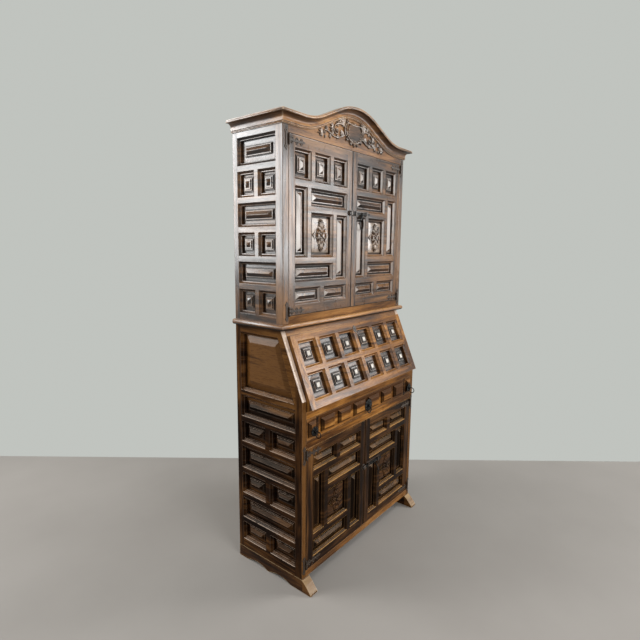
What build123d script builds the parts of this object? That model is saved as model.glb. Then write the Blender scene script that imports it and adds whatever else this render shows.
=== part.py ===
from build123d import *
import math
import os

# A two-part writing cabinet: a lower case with doors, a drawer, two pull-out
# supports and a slanting fall, and an upper case with doors under an arched
# cornice.  X runs across the front, Y from front to back and Z up.  The origin
# is at floor level under the middle of the cabinet's footprint.  Millimetres.

# ---------------------------------------------------------------- main sizes
case_width = 890.0            # both cases, over the sides
base_depth = 375.0            # lower case, back to front
upper_depth = 276.0           # upper case, back to front
footprint_depth = 422.0       # back of the runners to the tip of their toes
runner_height = 54.0          # floor to the underside of the lower case
slant_lift = 44.0             # writing board's top to where the sides begin to slope back
slant_run = 108.5             # how far the slope goes back ...
slant_rise = 256.0            # ... over this height
base_top = 1068.0             # top of the lower case
waist_thickness = 22.0        # board with a rounded nose between the cases
waist_side_reach = 17.5       # overhang of that board past the sides
waist_front_reach = 14.0      # overhang of that board past the upper case
waist_round = 0.48            # radius of its edges, as a share of its thickness
upper_side_height = 778.0     # height of the upper case's sides

# ---------------------------------------------------------------- clearances
door_gap = 1.5                # round a door or the drawer's front
meeting_gap = 4.2             # between a pair of doors
slide_gap = 0.5               # under and beside a drawer, support or bolt
pivot_gap = 0.1               # between a pin and the eye that turns on it
knuckle_gap = 0.4             # between the knuckles of a hinge
hinge_lift = 0.3              # between a hinge's barrel and the wood behind it
fall_gap = 1.0                # between the fall and the sides

# -------------------------------------------------------------- board stock
back_thickness = 9.0
lining_thickness = 9.0        # board behind the coffers of the lower sides
base_side_thickness = 23.2
upper_side_thickness = 31.0
shelf_thickness = 18.0
relief = 20.0                 # depth of a coffer's floor below its frame's face

# --------------------------------------------------- edge of every coffer
lip_depth = 2.0               # square edge at the frame's face
bevel_depth = 9.0             # depth at which the bevel ends
bevel_width = 6.5             # how far the bevel comes in over that depth
moulding_width = 9.5          # how far the whole edge comes in
board_lap = 8.0               # how far a coffer board passes behind its frame

# -------------------------------------------- blocks standing in the coffers
hip_block = 42.0              # short side of a long hipped block
hip_steps = 2
hip_tread = 3.6               # tread of each step round its foot
hip_riser = 3.2               # height of each step
hip_rise = 9.0                # its ridge above the upper step
pyramid_block = 54.0          # short side of a stepped pyramid
pyramid_steps = 3
pyramid_tread = 5.6
pyramid_riser = 3.4
pyramid_rise = 7.0            # its point above the upper step
block_ridge = 1.2             # width left flat at a ridge or point
carved_margin = 18.0          # edge of a carved coffer to its plinth
carved_plinth = 6.0
lozenge_margin = 5.0          # plinth's edge to the points of its lozenge
lozenge_rise = 5.0
boss_radius = 20.0            # flower in the middle of the lozenge
boss_rise = 3.0
square_limit = 1.35           # a coffer longer than this share holds a hipped block

# ----------------------------------------------------------------- runners
runner_thickness = 43.0
toe_drop = 16.0               # from the top of the runner to the toe's bevel
toe_bevel = 20.0              # how far the bevel reaches forward
toe_tip = 6.0                 # height of the upright tip
rear_pad = 52.0               # flat foot at the back
front_pad = 110.0             # flat foot at the front, behind the tip
scallop_count = 2             # hollows along the underside
scallop_rise = 14.0
scallop_nib = 12.0            # flat left between two hollows

# -------------------------------------------------------------- base sides
base_rear_stile = 28.0
base_front_stile = 37.0
base_bottom_rail = 39.5
base_side_rail = 23.0
base_side_mullion = 25.0
base_side_rows = (83.0, 93.5, 95.5, 98.5, 90.5, 93.5)   # shares of the height
side_row_counts = (2, 1)      # rows of two squares alternate with one long coffer
field_lift = 29.0             # writing board's top to the sloped coffer's foot
field_top_rail = 32.0         # over the sloped coffer
field_foot_margin = 44.0      # its lower front corner to the front of the side
field_top_margin = 30.4       # its upper front corner to the side's slope
field_margin = 14.0           # edge of the sloped coffer to its raised field
field_slope = 28.0            # width of the field's sloping edge
field_rise = 9.0
lining_front_gap = 31.0       # front of the case to the lining boards

# -------------------------------------------------------------- upper sides
upper_rear_stile = 28.0
upper_front_stile = 38.5
upper_side_bottom_rail = 28.0
upper_side_rail = 24.4
upper_side_mullion = 24.0
upper_side_rows = (98.0, 87.0, 91.0, 91.0, 98.0, 104.0)
upper_side_top_rail = 59.0

# --------------------------------------------------------- doors, all four
door_thickness = 30.0
door_rail = 26.5
door_mullion = 24.0
door_meeting_stile = 36.5
tall_coffer = 73.0            # width of the upright coffers
pair_coffers = 2              # long coffers in a level row
square_coffers = 3            # square coffers in a level row

upper_door_lift = 32.5        # foot of the upper case to its doors' lower edge
upper_door_top_rail = 46.0
upper_door_outer_stile = 36.5
upper_door_bottom_rail = 42.0
upper_pair_height = 62.0
upper_low_height = 70.0
upper_wide_height = 68.0
upper_squares_height = 112.0

lower_door_foot = 84.0
lower_door_height = 520.5
lower_door_outer_stile = 44.0
lower_door_bottom_rail = 38.5
lower_door_top_rail = 38.5
lower_low_height = 72.0
lower_wide_height = 70.5
lower_pair_height = 65.5

# ------------------------------------------------------- inside of the base
base_rail_depth = 22.0
bottom_board_drop = 2.0       # bottom rail's top to the bottom board's top
base_shelf_height = 348.0
base_shelf_setback = 75.0     # front of the case to the shelf
drawer_rail_thickness = 30.0
drawer_opening = 90.0         # height between drawer rail and writing board
writing_thickness = 31.0
guide_thickness = 12.5        # upright between drawer and support
support_bay = 75.0            # inside of the case to the drawer's side of its guide
top_board_thickness = 20.0

# ---------------------------------------------------------------- the fall
fall_thickness = 32.0
fall_head_space = 37.3        # top of the fall to the top of the case, along the slope
fall_relief = 20.0
fall_stile = 33.0
fall_bottom_rail = 31.0
fall_top_rail = 26.0
fall_columns = 6
fall_rows = 2
fall_mullion = 23.0
fall_rail = 21.0
fall_pivot_gap = 0.5          # pivot line to the writing board's corner
head_rail_gap = 2.0           # top of the fall to the rail above it
head_rail_thickness = 18.5
head_rail_height = 60.0       # before it is trimmed under the waist board

# ------------------------------------------------------ pigeonholes inside
pigeon_height = 143.0         # clear height of the pigeonholes
pigeon_depth = 190.0
pigeon_board = 10.0
pigeon_divider_place = 140.0  # middle of the case to each divider

# ------------------------------------------------------------------ drawer
drawer_front_thickness = 22.0
drawer_side_thickness = 12.0
drawer_bottom_thickness = 6.0
drawer_rear_space = 40.0      # back of the case to the back of the drawer
drawer_side_height = 72.0
drawer_blocks = 6
drawer_block_space = 27.0     # between two blocks on its front
drawer_block_height = 58.0
front_block_plinth = 4.0      # upright edge of the drawer's and supports' blocks
front_block_rise = 12.0       # face of the drawer to the face of a block
front_block_slope = 11.0

# --------------------------------------------------------- pull-out supports
support_rear_space = 45.0     # back of the case to the end of the bar
support_front_thickness = 20.0
support_block_width = 42.0
support_block_height = 62.0

# --------------------------------------------------- upper case, inside
upper_floor_drop = 1.5        # door's lower edge to the floor board's top
upper_shelf_setback = 41.0    # front of the upper case to its shelves
upper_shelf_lifts = (268.0, 498.0)   # foot of the upper case to each shelf's top
upper_top_board = 18.0
upper_top_drop = 4.0          # top of the upper sides to the top board
pediment_thickness = 22.0
pediment_drop = 63.0          # top of the upper sides to the pediment board's foot

# ------------------------------------------------------------- arched cornice
cornice_height = 44.0
cornice_reach = 32.0
cornice_lift = 8.0            # top of the upper sides to the cornice's level ends
arch_angle = 23.5             # steepest slope of the arch
arch_hollow_radius = 281.0    # where the arch leaves the level ends
arch_crown_radius = 328.0     # over the crown
arch_straight = 122.0         # between the two curves
nose_height = 11.0            # thick rounded edge at the top
nose_step = 4.0               # fillet on top of it
nose_set_back = 2.5
cove_start = 26.0             # reach of the cove at its top
cove_drop = 14.0              # height of the cove
cove_bulge = 0.22             # how far the cove curves in, as a share of its span
band_reach = 6.0
groove_height = 8.5           # top of the bead under the band
groove_depth = 2.0
groove_width = 1.5
bead_foot = 1.5
pediment_cover = 3.0          # cornice's top to the pediment board's edge

# ---------------------------------------------------------- pediment carving
shield_width = 92.0
shield_height = 98.0
shield_waist = 0.45           # share of its height at which it is widest
shield_shoulder = (0.84, 0.80)   # a point on its upper edge, as shares of half its width and its height
shield_base = (0.72, 0.14)       # a point on its lower edge
shield_lift = 21.0            # pediment board's foot to the shield's foot
shield_thickness = 10.0
scroll_thickness = 8.0
scroll_start = 58.0           # middle of the case to the first leaf
scroll_reach = 190.0          # along to the last leaf
scroll_high = 73.0            # pediment board's foot to the middle of the first leaf ...
scroll_low = 29.0             # ... and of the last leaf
scroll_first = 30.0           # radius of the first leaf ...
scroll_last = 9.0             # ... and of the last
scroll_leaves = 6

# --------------------------------------------------------------- door hinges
barrel_radius = 4.2
barrel_length = 38.0
barrel_pin = 2.0
iron_thickness = 2.0
hinge_plate_width = 12.0
hinge_plate_length = 82.0
hinge_plate_point = 10.0
strap_length = 94.0
strap_height = 9.0
strap_point = 8.0
lobe_radius = 6.5             # pierced lobes along the plates and straps
lobe_hole = 2.8
plate_lobe_place = 28.0       # pivot's middle to the lobes of a plate
strap_lobe_places = (20.0, 46.0, 72.0)   # pivot line to each pair of lobes on a strap
upper_hinge_margins = (17.5, 22.5)   # foot and top of an upper door to its hinges
lower_hinge_margins = (25.0, 24.0)

# -------------------------------------------------------- hinges of the fall
leaf_places = (-290.0, 0.0, 290.0)
leaf_length = 60.0
leaf_reach = 19.0
leaf_thickness = 1.6
leaf_barrel = 3.2

# ---------------------------------------------------------------------- bolts
upper_bolt_lift = 417.5       # foot of an upper door to its bolt
lower_bolt_lift = 296.0
bolt_height = 10.0
bolt_thickness = 7.0
bolt_tip = 3.2                # middle of the case to the drawn-back tip
bolt_length = 127.0
bolt_plate_start = 10.0
bolt_plate_end = 124.0
bolt_plate_height = 26.0
staple_width = 8.0
staple_places = (16.0, 100.0)
staple_wall = 3.5
staple_cover = 2.0
keeper_near = 6.0
keeper_far = 20.0
bolt_ring_place = 64.0        # the upper bolt's ring and the lower bolt's lever
bolt_ear_drop = 7.0           # underside of the bolt to the ring's pin
lever_reach = 38.0            # lower door's face to the tip of the lever
lever_drop = 35.0
lever_bar = 2.2
lever_knob = 3.8
lever_bend = (0.72, 0.34)     # middle of the lever's curve, as shares of its reach and drop

# ------------------------------------------------------------ rings and eyes
ring_pin = 1.5
ring_eye = 4.0
ring_eye_length = 5.4
ear_gap = 0.5                 # eye to each ear beside it
ear_thickness = 2.5
ear_reach = 3.5               # radius of an ear's rounded nose
round_ring = 13.0             # radius of the bow, to the middle of its bar
round_ring_bar = 2.0
oval_ring_width = 26.0
oval_ring_height = 52.0
oval_ring_bar = 2.4
rosette_thickness = 2.0
support_rosette = 20.0
support_pull_shift = 6.5      # the rosette from the middle of the support's front
support_pull_drop = 9.0
support_ring_tilt = 44.0      # where the ring rests on its rosette
ring_stand = 5.0              # rosette's face to the ring's pin
drawer_rosette = 28.0
drawer_rosette_boss = 10.0    # stem between the rosette and the drawer
drawer_pull_drop = 3.0        # the rosette below the middle of the drawer's front
drawer_ring = 14.0
drawer_ring_bar = 2.3

# --------------------------------------------------------------------- lock
lock_place = 4.0              # middle of the case to the keyhole
lock_height = 272.0           # along the fall
lock_plate_width = 22.0
lock_plate_length = 36.0
lock_plate_point = 10.0
keyhole_radius = 2.6
keyhole_slot = 2.6            # width of the slot under the round hole
keyhole_drop = 9.0            # round hole's middle to the slot's foot
keyhole_depth = 14.0

# ------------------------------------------------------------- derived places
half_case = case_width / 2
back_y = footprint_depth / 2
base_front_y = back_y - base_depth
upper_front_y = back_y - upper_depth
upper_foot = base_top + waist_thickness
upper_side_top = upper_foot + upper_side_height
upper_door_foot = upper_foot + upper_door_lift
pediment_foot = upper_side_top - pediment_drop
upper_door_height = pediment_foot - door_gap - upper_door_foot
cornice_end_top = upper_side_top + cornice_lift
base_inner = half_case - base_side_thickness
lining_inner = base_inner - lining_thickness
upper_inner = half_case - upper_side_thickness
lining_front = base_depth - lining_front_gap
guide_inner = base_inner - support_bay
drawer_rail_low = lower_door_foot + lower_door_height + door_gap
drawer_rail_high = drawer_rail_low + drawer_rail_thickness
writing_low = drawer_rail_high + drawer_opening
writing_high = writing_low + writing_thickness
slant_start = writing_high + slant_lift
slant = math.degrees(math.atan2(slant_run, slant_rise))
slant_sin = math.sin(math.radians(slant))
slant_cos = math.cos(math.radians(slant))
pivot_depth = base_depth + fall_pivot_gap
pivot_height = writing_high + fall_pivot_gap
pivot_y = back_y - pivot_depth
slope_offset = (base_depth - pivot_depth) * slant_cos + (slant_start - pivot_height) * slant_sin
fall_length = (base_top - pivot_height) / slant_cos - fall_head_space
fall_half = base_inner - fall_gap
front_foot = drawer_rail_high + door_gap
front_height = drawer_opening - 2 * door_gap

corner = (Align.MIN, Align.MIN, Align.MIN)
spare = 1.0                   # how far a cutting tool passes the face it cuts


# ---------------------------------------------------------------- small tools
def board(left, right, rear, front, low, high):
    """A square board; rear and front are measured forward from the back plane."""
    return Pos(left, back_y - front, low) * Box(right - left, front - rear, high - low, align=corner)


def block(left, right, low, high, near, far):
    """A block in a panel's own frame: X across, Z up, Y into the wood from its face."""
    return Pos(left, near, low) * Box(right - left, far - near, high - low, align=corner)


def frustum(left, right, low, high, wide_depth, narrow_depth, inset):
    """A block that is full size at one depth and inset all round at the other."""
    width, height = right - left, high - low
    body = Wedge(width, abs(narrow_depth - wide_depth), height, inset, inset,
                 width - inset, height - inset, align=(Align.CENTER, Align.MIN, Align.CENTER))
    turn = Rot(0, 0, 0) if narrow_depth > wide_depth else Rot(180, 0, 0)
    return Pos((left + right) / 2, wide_depth, (low + high) / 2) * turn * body


def prism(points, near, far):
    """A flat outline in a panel's X and Z, given thickness along Y."""
    face = make_face(Polyline(*[(x, 0, z) for x, z in points], close=True))
    return Pos(0, near, 0) * extrude(face, amount=far - near, dir=(0, 1, 0))


def inset_points(points, inset):
    """The outline moved inwards by the same distance on every side."""
    count = len(points)
    turn = sum(points[i][0] * points[(i + 1) % count][1] - points[(i + 1) % count][0] * points[i][1]
               for i in range(count))
    way = 1.0 if turn > 0 else -1.0
    lines = []
    for i in range(count):
        (x0, z0), (x1, z1) = points[i], points[(i + 1) % count]
        length = math.hypot(x1 - x0, z1 - z0)
        nx, nz = -way * (z1 - z0) / length, way * (x1 - x0) / length
        lines.append((nx, nz, nx * x0 + nz * z0 + inset))
    moved = []
    for i in range(count):
        a, b, c = lines[i - 1]
        d, e, f = lines[i]
        cross = a * e - b * d
        moved.append(((c * e - b * f) / cross, (a * f - c * d) / cross))
    return moved


def tapered_prism(points, wide_depth, narrow_depth, inset):
    """An outline that draws in evenly between two depths."""
    faces = []
    for depth, amount in ((wide_depth, 0.0), (narrow_depth, inset)):
        outline = [(x, depth, z) for x, z in inset_points(points, amount)]
        faces.append(make_face(Polyline(*outline, close=True)))
    return loft(faces)


def rod(radius, length, axis):
    """A round bar centred on the origin, along X, Y or Z."""
    turn = {"X": Rot(0, 90, 0), "Y": Rot(90, 0, 0), "Z": Rot(0, 0, 0)}[axis]
    return turn * Cylinder(radius, length)


def other_side(shape):
    """The same piece for the other side of the cabinet."""
    return mirror(shape, about=Plane.YZ)


def group(solids):
    """Separate solids kept together in one file."""
    return Compound(children=[piece for item in solids for piece in item.solids()])


os.makedirs("parts", exist_ok=True)


def save(shape, name):
    export_step(shape, "parts/" + name + ".step")


def save_pair(shape, name):
    """Writes a left-hand piece and its mirror image."""
    save(shape, name + "_left")
    save(other_side(shape), name + "_right")


# --------------------------------------------------------- coffers and panels
def coffer_rows(left, right, foot, rail, mullion, heights, counts):
    """Coffers in level rows of the given heights; the counts repeat row after row."""
    openings = []
    low = foot
    for row, height in enumerate(heights):
        across = counts[row % len(counts)]
        width = (right - left - (across - 1) * mullion) / across
        for i in range(across):
            start = left + i * (width + mullion)
            openings.append((start, start + width, low, low + height))
        low += height + rail
    return openings


def share_out(total, shares):
    """Splits a length in the proportion of the shares."""
    return [total * share / sum(shares) for share in shares]


def pinwheel(left, right, foot, low_height, carved_height, wide_height):
    """Four long coffers turning round a carved one, and the height of their top."""
    inner_left = left + tall_coffer + door_mullion
    inner_right = right - tall_coffer - door_mullion
    carved_low = foot + low_height + door_rail
    carved_high = carved_low + carved_height
    wide_low = carved_high + door_rail
    top = wide_low + wide_height
    openings = [
        (left, inner_right, foot, foot + low_height),
        (right - tall_coffer, right, foot, carved_high),
        (left, left + tall_coffer, carved_low, top),
        (inner_left, right, wide_low, top),
    ]
    return openings, (inner_left, inner_right, carved_low, carved_high), top


def cut_coffers(frame, openings, thickness):
    """Cuts each coffer through a frame and moulds its edge."""
    cuts = []
    for left, right, low, high in openings:
        cuts.append(block(left, right, low, high, -spare, lip_depth))
        cuts.append(frustum(left, right, low, high, lip_depth, bevel_depth, bevel_width))
        cuts.append(block(left + moulding_width, right - moulding_width,
                          low + moulding_width, high - moulding_width, 0, thickness + spare))
    return frame - cuts


def raised_block(opening, floor):
    """The stepped pyramid or long hipped block that stands in a coffer."""
    left, right, low, high = opening
    narrow = min(right - left, high - low)
    square = max(right - left, high - low) < square_limit * narrow
    across, steps, tread, riser, rise = hip_block, hip_steps, hip_tread, hip_riser, hip_rise
    if square:
        across, steps, rise = pyramid_block, pyramid_steps, pyramid_rise
        tread, riser = pyramid_tread, pyramid_riser
    margin = (narrow - across) / 2
    left, right, low, high = left + margin, right - margin, low + margin, high - margin
    pieces = []
    for step in range(steps):
        inset = step * tread
        pieces.append(block(left + inset, right - inset, low + inset, high - inset,
                            floor - (step + 1) * riser, floor))
    inset = steps * tread
    base = floor - steps * riser
    slope = (across - block_ridge) / 2 - inset
    pieces.append(frustum(left + inset, right - inset, low + inset, high - inset, base, base - rise, slope))
    return pieces


def carved_block(opening, floor):
    """Plinth, lozenge and flower that stand in the middle coffer of a door."""
    left, right, low, high = opening
    left, right = left + carved_margin, right - carved_margin
    low, high = low + carved_margin, high - carved_margin
    face = floor - carved_plinth
    middle_x, middle_z = (left + right) / 2, (low + high) / 2
    lozenge = [(left + lozenge_margin, middle_z), (middle_x, low + lozenge_margin),
               (right - lozenge_margin, middle_z), (middle_x, high - lozenge_margin)]
    boss_depth = face - lozenge_rise - boss_rise
    boss = Pos(middle_x, (boss_depth + floor) / 2, middle_z) * rod(boss_radius, floor - boss_depth, "Y")
    return [block(left, right, low, high, face, floor),
            prism(lozenge, face - lozenge_rise, floor), boss]


def coffer_board(outline, floor, far, blocks):
    """One board behind a frame, with the blocks of its coffers standing on it."""
    left, right, low, high = outline
    return block(left, right, low, high, floor, far) + blocks


def bounds(openings, lap):
    """The rectangle round a set of coffers, widened by a lap."""
    return (min(o[0] for o in openings) - lap, max(o[1] for o in openings) + lap,
            min(o[2] for o in openings) - lap, max(o[3] for o in openings) + lap)


def raised_blocks(openings, floor):
    return [piece for opening in openings for piece in raised_block(opening, floor)]


# ------------------------------------------------------------------- runners
def runner():
    """Left runner: a long foot with a bevelled toe and a scalloped underside."""
    rear, front = 0.0, base_depth
    outline = [
        (rear, 0), (footprint_depth, 0), (footprint_depth, toe_tip),
        (front + toe_bevel, runner_height - toe_drop), (front, runner_height), (rear, runner_height),
    ]
    points = [(depth, z) for depth, z in outline]
    face = make_face(Polyline(*[(0, back_y - depth, z) for depth, z in points], close=True))
    body = Pos(-half_case, 0, 0) * extrude(face, amount=runner_thickness, dir=(1, 0, 0))
    span = footprint_depth - rear_pad - front_pad
    width = (span - (scallop_count - 1) * scallop_nib) / scallop_count
    radius = (width ** 2 / 4 + scallop_rise ** 2) / (2 * scallop_rise)
    middle_x = -half_case + runner_thickness / 2
    cuts = []
    for i in range(scallop_count):
        middle = rear_pad + width / 2 + i * (width + scallop_nib)
        place = Pos(middle_x, back_y - middle, scallop_rise - radius)
        cuts.append(place * rod(radius, runner_thickness + 2 * spare, "X"))
    return body - cuts


save_pair(runner(), "runner")


# ------------------------------------------------------------ lower case sides
def on_left_side(shape, foot):
    """Sets a panel on the left side: its X runs forward from the back plane."""
    return Pos(-half_case, back_y, foot) * Rot(0, 0, -90) * shape


side_height = base_top - runner_height
field_low = writing_high + field_lift - runner_height
field_top = side_height - field_top_rail
slope_depth = base_depth - (runner_height + field_top - slant_start) * slant_run / slant_rise
base_rows_space = field_low - base_bottom_rail - len(base_side_rows) * base_side_rail
base_row_heights = share_out(base_rows_space, base_side_rows)
base_coffers = coffer_rows(base_rear_stile, base_depth - base_front_stile, base_bottom_rail,
                           base_side_rail, base_side_mullion, base_row_heights, side_row_counts)
field_outline = [
    (base_rear_stile, field_low), (base_depth - field_foot_margin, field_low),
    (slope_depth - field_top_margin, field_top), (base_rear_stile, field_top),
]


def base_side_frame():
    """Left side frame of the lower case, sloped at its upper front corner."""
    slope_top = base_depth - (base_top - slant_start) * slant_run / slant_rise
    outline = [(0, 0), (base_depth, 0), (base_depth, slant_start - runner_height),
               (slope_top, side_height), (0, side_height)]
    frame = cut_coffers(prism(outline, 0, base_side_thickness), base_coffers, base_side_thickness)
    return frame - [
        prism(field_outline, -spare, lip_depth),
        tapered_prism(field_outline, lip_depth, bevel_depth, bevel_width),
        prism(inset_points(field_outline, moulding_width), 0, base_side_thickness + spare),
    ]


def base_side_panels():
    """Lining board inside the left side, with the blocks and the sloped field on it."""
    floor, far = base_side_thickness, base_side_thickness + lining_thickness
    rear = base_rear_stile - board_lap
    foot = base_bottom_rail - 3 * board_lap
    top = field_top + board_lap / 2
    slope_front = slope_depth - field_top_margin + board_lap / 2
    outline = [(rear, foot), (lining_front, foot), (lining_front, field_low - board_lap),
               (slope_front, top), (rear, top)]
    field = inset_points(field_outline, field_margin)
    lining = prism(outline, floor, far)
    raised = tapered_prism(field, floor, floor - field_rise, field_slope)
    return lining + raised_blocks(base_coffers, floor) + raised


save_pair(on_left_side(base_side_frame(), runner_height), "base_side_frame")
save_pair(on_left_side(base_side_panels(), runner_height), "base_side_panels")


# -------------------------------------------------------- lower case, inside
def railed_board(low, high):
    """A board between the linings whose front strip reaches the side frames."""
    inner = board(-lining_inner, lining_inner, back_thickness, lining_front, low, high)
    return inner + board(-base_inner, base_inner, lining_front, base_depth, low, high)


rail_top = lower_door_foot - door_gap
bottom_board_top = rail_top - bottom_board_drop
base_rail_rear = base_depth - base_rail_depth
save(board(-base_inner, base_inner, 0, back_thickness, runner_height, base_top), "base_back_board")
save(board(-base_inner, base_inner, base_rail_rear, base_depth, runner_height, rail_top), "base_bottom_rail")
save(board(-lining_inner, lining_inner, back_thickness, base_rail_rear,
           bottom_board_top - shelf_thickness, bottom_board_top), "base_bottom_board")
save(board(-lining_inner, lining_inner, back_thickness, base_depth - base_shelf_setback,
           base_shelf_height - shelf_thickness, base_shelf_height), "base_shelf")
save(railed_board(drawer_rail_low, drawer_rail_high), "drawer_rail_board")
guide = board(-guide_inner - guide_thickness, -guide_inner, back_thickness, base_depth,
              drawer_rail_high, writing_low)
save(group([guide, other_side(guide)]), "support_guides")


# ---------------------------------------------------------- the slanting fall
def on_slope(shape):
    """Sets a panel on the slope: its X from the fall's left end, Z up the slope."""
    turn = Rot(-slant, 0, 0) * Pos(0, -fall_thickness, 0)
    return Pos(-fall_half, pivot_y, pivot_height) * turn * shape


def barrel_space(place):
    """Room for a desk hinge's barrel along the pivot line."""
    radius = leaf_barrel + knuckle_gap
    return Pos(place, pivot_y, pivot_height) * rod(radius, leaf_length + 2 * knuckle_gap, "X")


def case_leaf(place):
    """Hinge leaf let into the writing board, with the middle knuckle."""
    third = leaf_length / 3
    top = back_y - pivot_depth + leaf_barrel + knuckle_gap
    flat = Pos(place, top, writing_high) * Box(leaf_length, leaf_reach, leaf_thickness,
                                               align=(Align.CENTER, Align.MIN, Align.MAX))
    tongue = Box(third - knuckle_gap, leaf_barrel + leaf_reach / 2, leaf_thickness,
                 align=(Align.CENTER, Align.MIN, Align.MAX))
    tongue = Pos(place, pivot_y, writing_high) * tongue
    knuckle = Pos(place, pivot_y, pivot_height) * rod(leaf_barrel, third - knuckle_gap, "X")
    return flat + tongue + knuckle


def case_leaf_pocket(place):
    length = leaf_barrel + knuckle_gap + leaf_reach
    pocket = Box(leaf_length, length, leaf_thickness, align=(Align.CENTER, Align.MIN, Align.MAX))
    return Pos(place, back_y - pivot_depth, writing_high) * pocket


def fall_leaf(place):
    """Hinge leaf let into the fall, with the two outer knuckles."""
    third = leaf_length / 3
    middle = place + fall_half
    near, far = fall_thickness - leaf_thickness, fall_thickness
    left, right = middle - leaf_length / 2, middle + leaf_length / 2
    start = leaf_barrel + knuckle_gap
    leaf = block(left, right, start, start + leaf_reach, near, far)
    for edge in (left, right - third):
        leaf += block(edge, edge + third, 0, start + spare, near, far)
        leaf += Pos(edge + third / 2, fall_thickness, 0) * rod(leaf_barrel, third, "X")
    return leaf


def fall_leaf_pocket(place):
    middle = place + fall_half
    return block(middle - leaf_length / 2, middle + leaf_length / 2, 0,
                 leaf_barrel + knuckle_gap + leaf_reach, fall_thickness - leaf_thickness, fall_thickness)


fall_width = 2 * fall_half
fall_rows_space = fall_length - fall_bottom_rail - fall_top_rail - (fall_rows - 1) * fall_rail
fall_coffer_height = fall_rows_space / fall_rows
fall_openings = coffer_rows(fall_stile, fall_width - fall_stile, fall_bottom_rail, fall_rail,
                            fall_mullion, [fall_coffer_height] * fall_rows, [fall_columns])
fall_pocket = bounds(fall_openings, board_lap)


def keyhole():
    """Tool that cuts the keyhole through the plate and into the fall."""
    near = -iron_thickness - spare
    hole = Pos(0, (near + keyhole_depth) / 2, 0) * rod(keyhole_radius, keyhole_depth - near, "Y")
    slot = block(-keyhole_slot / 2, keyhole_slot / 2, -keyhole_drop, 0, near, keyhole_depth)
    return Pos(lock_place + fall_half, 0, lock_height) * (hole + slot)


def fall_frame():
    """The fall's frame, with a pocket behind for its board and room for its hinges."""
    blank = block(0, fall_width, 0, fall_length, 0, fall_thickness)
    frame = cut_coffers(blank, fall_openings, fall_thickness)
    left, right, low, high = fall_pocket
    frame = frame - [block(left, right, low, high, fall_relief, fall_thickness + spare), keyhole()]
    frame = frame - [fall_leaf_pocket(place) for place in leaf_places]
    return on_slope(frame) - [barrel_space(place) for place in leaf_places]


def fall_panel():
    """The writing board inside the fall, with its pyramids on the outer face."""
    return on_slope(coffer_board(fall_pocket, fall_relief, fall_thickness,
                                 raised_blocks(fall_openings, fall_relief)))


def pointed_plate(width, length, point):
    """An upright plate outline with a point at each end, centred on the origin."""
    half, end = width / 2, length / 2
    return [(-half, -end + point), (0, -end), (half, -end + point),
            (half, end - point), (0, end), (-half, end - point)]


def lock_plate():
    """Plate over the keyhole, pointed at both ends."""
    plate = prism(pointed_plate(lock_plate_width, lock_plate_length, lock_plate_point), -iron_thickness, 0)
    return Pos(lock_place + fall_half, 0, lock_height) * plate - keyhole()


writing = railed_board(writing_low, writing_high)
writing = writing - [barrel_space(place) for place in leaf_places]
save(writing - [case_leaf_pocket(place) for place in leaf_places], "writing_board")
save(fall_frame(), "fall_frame")
save(fall_panel(), "fall_panel")
save(group([on_slope(lock_plate())] + [on_slope(fall_leaf(place)) for place in leaf_places]), "fall_ironwork")


def head_rail():
    """Fixed rail between the sides above the fall, flush with their slope."""
    near = fall_thickness - slope_offset
    low = fall_length + head_rail_gap
    far = near + head_rail_thickness
    rail = block(-fall_gap, fall_width + fall_gap, low, low + head_rail_height, near, far)
    above = board(-case_width, case_width, 0, base_depth, base_top, base_top + case_width)
    return on_slope(rail) - above


def top_board():
    """Top of the lower case, cut to the back of the head rail."""
    rail_back = slope_offset - head_rail_thickness
    low = base_top - top_board_thickness
    fronts = []
    for height in (low, base_top):
        along = (height - pivot_height - rail_back * slant_sin) / slant_cos
        fronts.append(pivot_depth - along * slant_sin + rail_back * slant_cos)
    outline = [(back_thickness, low), (fronts[0], low), (fronts[1], base_top), (back_thickness, base_top)]
    face = make_face(Polyline(*[(0, back_y - depth, z) for depth, z in outline], close=True))
    return Pos(-base_inner, 0, 0) * extrude(face, amount=2 * base_inner, dir=(1, 0, 0))


save(head_rail(), "fall_head_rail")
save(top_board(), "base_top_board")


# ------------------------------------------------------ pigeonholes in the desk
divider_edges = (pigeon_divider_place - pigeon_board / 2, pigeon_divider_place + pigeon_board / 2)
pigeon_shelf_height = base_top - top_board_thickness - pigeon_height
divider = board(divider_edges[0], divider_edges[1], back_thickness, pigeon_depth,
                pigeon_shelf_height, base_top - top_board_thickness)
pigeon_shelf = board(-lining_inner, lining_inner, back_thickness, pigeon_depth,
                     pigeon_shelf_height - pigeon_board, pigeon_shelf_height)
save(group([pigeon_shelf, divider, other_side(divider)]), "pigeonholes")


# ------------------------------------------------------------------ waist board
def waist_board():
    """Board between the cases, rounded at its front and ends."""
    reach = half_case + waist_side_reach
    plain = board(-reach, reach, 0, upper_depth + waist_front_reach, base_top, base_top + waist_thickness)
    rear = plain.faces().sort_by(Axis.Y)[-1]
    level = plain.edges().filter_by(Plane.XY)
    rounded = [edge for edge in level if abs(edge.center().Y - rear.center().Y) > spare]
    return fillet(rounded, waist_thickness * waist_round)


save(waist_board(), "waist_moulding")


# ------------------------------------------------------------ upper case sides
upper_rows_space = upper_side_height - upper_side_bottom_rail - upper_side_top_rail
upper_rows_space -= (len(upper_side_rows) - 1) * upper_side_rail
upper_row_heights = share_out(upper_rows_space, upper_side_rows)
upper_coffers = coffer_rows(upper_rear_stile, upper_depth - upper_front_stile, upper_side_bottom_rail,
                            upper_side_rail, upper_side_mullion, upper_row_heights, side_row_counts)
upper_pocket = bounds(upper_coffers, board_lap)


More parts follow.
